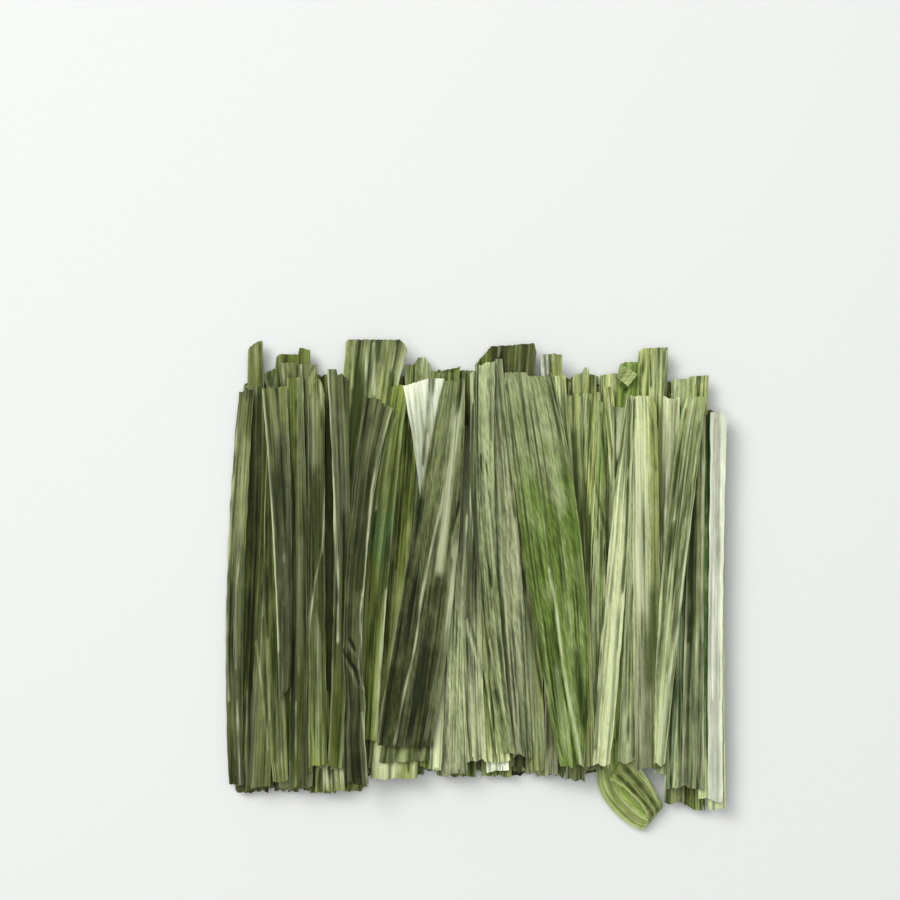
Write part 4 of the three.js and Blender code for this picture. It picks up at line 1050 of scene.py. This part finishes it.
def leafMaterial(tone, second, crossed=False):
    key = tone + second[0].upper() + second[1:] + ("Crossed" if crossed else "")
    if key in leafMaterials:
        return leafMaterials[key]
    material = bpy.data.materials.new(key)
    material.use_nodes = True
    wire = Wiring(material.node_tree)
    shader = material.node_tree.nodes["Principled BSDF"].inputs
    leafMap = wire.add("UVMap", uv_map="leafMap")
    masks = {name: wire.add("Attribute", attribute_name=name).outputs["Fac"] for name in marks}
    fibre = wire.add("Group", node_tree=fibreGroup)
    wire.feed(leafMap.outputs[0], fibre.inputs["Map"])
    wire.feed(masks["seed"], fibre.inputs["Seed"])
    colours = wire.add("Group", node_tree=colourGroup)
    base = tones[tone]
    settings = {
        "Base": linear(base),
        "Second": linear(tones[second]),
        "Pale": toned(base, *finish["paleStreak"]),
        "Edge": toned(base, *finish["paleStripe"]),
        "Dark": linear([c * d for c, d in zip(base, finish["darkStripe"])]),
        "Cross": finish["crossedWeave"] if crossed else finish["plainWeave"],
        "Texture": finish["toneTexture"].get(tone, finish["texture"]),
    }
    for name, value in settings.items():
        colours.inputs[name].default_value = value
    for name in ("Fade", "Ridge", "Accent", "Shade"):
        wire.feed(masks[name.lower()], colours.inputs[name])
    for name in fibres:
        wire.feed(fibre.outputs[name], colours.inputs[name])
    surface = wire.add("Bump")
    surface.inputs["Strength"].default_value = finish["bumpStrength"]
    surface.inputs["Distance"].default_value = finish["bumpHeight"] * mm
    wire.feed(fibre.outputs["Height"], surface.inputs["Height"])
    wire.feed(colours.outputs["Colour"], shader["Base Color"])
    wire.feed(colours.outputs["Roughness"], shader["Roughness"])
    wire.feed(surface.outputs[0], shader["Normal"])
    shader["Specular IOR Level"].default_value = finish["specular"]
    leafMaterials[key] = material
    return material


def makeLeaves():
    for number, row in enumerate(leafRows):
        look = leafLooks[row[0]]
        plan = leafPlan(row, look, number)
        bm = newLeafMesh()
        cell = (fineCell[0], look.get("rowStep", fineCell[1]))
        growLeaf(bm, number, plan["width"], plan["length"], cell, lambda u, v: leafPoint(plan, u, v),
                 look.get("splits", 0.5))
        if row[0] == tipFlap["node"]:
            growLeaf(bm, number + 0.5, tipFlap["side"], tipFlap["side"], tipFlap["cell"], flapPoint, 0)
        material = leafMaterial(look["tone"], look["second"], look.get("crossed", False))
        finishPiece(bm, row[0], [material])
    print("leaves", len(leafRows))


def flapPoint(u, v):
    number = tipFlap["number"]
    top, right, foot, left = (Vector(corner) for corner in tipFlap["corners"])
    x, y, z = top.lerp(right, u).lerp(left.lerp(foot, u), v)
    rib = math.sin(2 * math.pi * (u + v) * tipFlap["ribs"])
    z += tipFlap["ribDepth"] * rib + tipFlap["crinkle"] * wander(number, u * 2, v * 2)
    rim = bump(min(u, 1 - u, v, 1 - v), 0.08)
    # painted light and shade of the flap's ribs and crinkles
    ridge = 0.65 + 0.15 * rib + 0.3 * wander(number, u * 5, v * 5)
    return seen(x, y, z), (ridge, 1, 0.2 + 0.4 * rim, tipFlap["shade"])


def curledPoint(u, v):
    number = curledLeaf["number"]
    a, b = (splinePoint(curledLeaf[side], v) for side in ("left", "right"))
    before, after = (splinePoint(curledLeaf["left"], clamp(v + step)) for step in (-0.002, 0.002))
    normal = (b - a).cross(after - before).normalized()
    width = (b - a).length
    across = (u - 0.5) * width
    turn, turnLength = curledLeaf["turn"]
    upper = clamp((v - turn) / turnLength)
    strong = min(1, abs(upper - 0.5) * 2.5) * min(1, 0.3 + (1 - v) / 0.1)
    accent = 0
    for strength, middle, half in curledLeaf["upperStripes" if upper > 0.5 else "lowerStripes"]:
        line = middle + 0.1 * wander(number + middle, v * 5)
        patchy = 0.8 + 0.6 * wander(number + strength, v * 12)
        accent += strength * strong * patchy * bump(u - line, half)
    rib = math.sin(2 * math.pi * (across / curledLeaf["ribPeriod"] + 0.4 * wander(number, v * 6, 4)))
    crinkle = wander(number, across / 1.5, v * 30)
    rise = curledLeaf["crest"] * accent * upper
    rise += curledLeaf["ribDepth"] * rib + curledLeaf["crinkle"] * crinkle
    point = a.lerp(b, u) - normal * rise
    lip = clamp((0.42 - u) / 0.12) * clamp((v - 0.2) / 0.12) * clamp((0.62 - v) / 0.1)
    point.z += curledLeaf["lip"] * lip
    # painted light and shade of the ribs and crinkles, lighter and flatter on the lower arm
    ridge = 0.55 + 0.12 * rib + 0.35 * crinkle
    if upper <= 0.5:
        ridge = 0.75 + 0.25 * ridge
    accent = clamp(accent + rimAt(number, u, v, min(u, 1 - u) * width), -1)
    if upper < 0.5 and u > curledLeaf["within"]:
        return seen(*point), (ridge, curledLeaf["withinFade"], accent, curledLeaf["withinShade"])
    return seen(*point), (ridge, 0.25 * fadeAt(curledLeaf, number, u, v), accent, curledLeaf["shade"])


def makeCurledLeaf():
    bm = newLeafMesh()
    width, length = curledLeaf["width"], curledLeaf["length"]
    cell = (width / curledLeaf["columns"], length / curledLeaf["rows"])
    growLeaf(bm, curledLeaf["number"], width, length, cell, curledPoint)
    material = leafMaterial(curledLeaf["tone"], curledLeaf["second"])
    finishPiece(bm, "curled_leaf", [material])
    print("curled leaf")


def growBedStrip(bm, layer, sheet, i):
    # one strip between the edges i and i + 1, which it shares with its neighbours
    number = 200 + 400 * sheet + layer * bed["strips"] + i
    key = layer + 50 * sheet
    spacing = (bed["right"][0] - bed["left"][0]) / bed["strips"]
    middle = bed["strips"] // 2
    lean = bed["lean"] * (1 if (layer + sheet) % 2 else -1)
    centre = bed["left"][0] + (i + 0.5) * spacing
    topY = alongLine(bed["top"], centre) + bed["stagger"] * (draw(number, 1) - 0.5)
    footY = alongLine(bed["foot"], centre) + bed["stagger"] * draw(number, 2) * 0.6

    def shared(k, v):
        if k == 0:
            return through(*bed["left"], v)
        if k == bed["strips"]:
            return through(*bed["right"], v)
        shift = bed["unevenness"] * (draw(key + 100, k) - 0.5) + lean * (0.5 - v)
        return bed["left"][0] + k * spacing + (shift if k != middle else 0)

    def reach(k, v):
        if k in (0, bed["strips"]):
            return 0.3 + 0.8 * draw(key + 140, k)
        way = 1 if (k + layer) % 2 else -1
        return bed["overlap"] + bed["fan"] * way * (1 - 2 * v) * (0.6 + 0.4 * draw(key + 120, k))

    def height(k):
        return bed["rise"] if (k + middle) % 2 else 0

    def place(u, v):
        left, right = shared(i, v) - reach(i, v), shared(i + 1, v) + reach(i + 1, v)
        width = right - left
        across = (u - 0.5) * width
        edge = min(u, 1 - u) * width
        x = mix(left, right, u) + bed["margin"] * wander(number, v * 22, 5) * bump(edge, 1.2)
        y = mix(topY, footY, v)
        fromEnd = min(v, 1 - v) * (topY - footY)
        torn = bed["tear"][0] * wander(number, across / bed["tear"][1], 2) - 1.2
        torn += bed["endStep"][0] * stepped(number, across / bed["endStep"][1], 1)
        y += torn * bump(fromEnd, bed["endReach"])
        pleat, pleatWidth = bed["pleat"]
        ridged = abs(math.sin(math.pi * (across / pleatWidth + 0.8 * wander(number, v * 2)))) ** 0.85
        depth, wide, long = bed["crinkle"]
        crinkle = wander(number, across / wide, y / long)
        z = (layer * bed["sheets"] + sheet) * bed["sheetPitch"] + mix(height(i), height(i + 1), u)
        z += (bed["step"] if i % 2 else 0) + pleat * ridged + depth * crinkle
        z = bunch["blade"] + max(0.02, z) * swell(x, y)
        # painted light and shade of the strip's pleats and crinkles
        ridge = 0.1 + 0.6 * ridged + 0.3 * crinkle
        # painted shade over the strip's middle, which lies deep under the leaves; lighter near its ends
        shade = 0.3 + 0.6 * bump(fromEnd, bed["lightEnd"])
        return (x, y, z), (ridge, fadeAt(bed, number, u, v), rimAt(number, u, v, edge), shade)

    tone = int(draw(number, 5) * len(bed["tones"]))
    growLeaf(bm, number, spacing + 2, topY - footY, hiddenCell, place, bed["splits"], tone)


def makeBed():
    materials = [leafMaterial(*pair) for pair in bed["tones"]]
    for layer in range(bed["layers"]):
        bm = newLeafMesh()
        for sheet in range(bed["sheets"]):
            for i in range(bed["strips"]):
                growBedStrip(bm, layer, sheet, i)
        finishPiece(bm, f"under_layer_{layer + 1}", materials)
    print("hidden layers", bed["layers"])


studio = {
    "lights": {
        "key": {"place": (-1.3, 1.2, 2.1), "size": 1.2, "power": 38},
        "front": {"place": (-0.2, 0.3, 2.0), "size": 1.5, "power": 22},
    },
    "sky": (0.96, 0.98, 1.0, 1),
    "skyStrength": 0.28,
    "floor": (0.8, 0.81, 0.79, 1),
    "floorRoughness": 0.8,
    "floorSize": 2,
}
view = {"lens": 100, "sensor": 36, "across": 0.333, "centre": (-0.00984, 0.04965), "aimHeight": 0.016}


def makeFloor():
    bm = bmesh.new()
    bmesh.ops.create_grid(bm, x_segments=1, y_segments=1, size=studio["floorSize"])
    mesh = bpy.data.meshes.new("floor")
    bm.to_mesh(mesh)
    bm.free()
    floor = bpy.data.objects.new("floor", mesh)
    bpy.context.scene.collection.objects.link(floor)
    material = bpy.data.materials.new("paleFloor")
    material.use_nodes = True
    shader = material.node_tree.nodes["Principled BSDF"].inputs
    shader["Base Color"].default_value = studio["floor"]
    shader["Roughness"].default_value = studio["floorRoughness"]
    mesh.materials.append(material)


def makeLights():
    for name, light in studio["lights"].items():
        data = bpy.data.lights.new(name, "AREA")
        data.size = light["size"]
        data.energy = light["power"]
        lamp = bpy.data.objects.new(name, data)
        lamp.location = light["place"]
        lamp.rotation_euler = (-Vector(light["place"])).to_track_quat("-Z", "Y").to_euler()
        bpy.context.scene.collection.objects.link(lamp)
    world = bpy.data.worlds.new("studio")
    world.use_nodes = True
    sky = world.node_tree.nodes["Background"].inputs
    sky["Color"].default_value = studio["sky"]
    sky["Strength"].default_value = studio["skyStrength"]
    bpy.context.scene.world = world
    bpy.context.scene.view_settings.view_transform = "Standard"


def makeCamera():
    data = bpy.data.cameras.new("camera")
    data.lens = view["lens"]
    data.sensor_width = view["sensor"]
    camera = bpy.data.objects.new("camera", data)
    away = view["across"] * view["lens"] / view["sensor"]
    camera.location = (*view["centre"], view["aimHeight"] + away)
    bpy.context.scene.collection.objects.link(camera)
    bpy.context.scene.camera = camera


makeFloor()
makeLights()
makeCamera()
print("floor, lights and camera")
makeLeaves()
makeCurledLeaf()
makeBed()
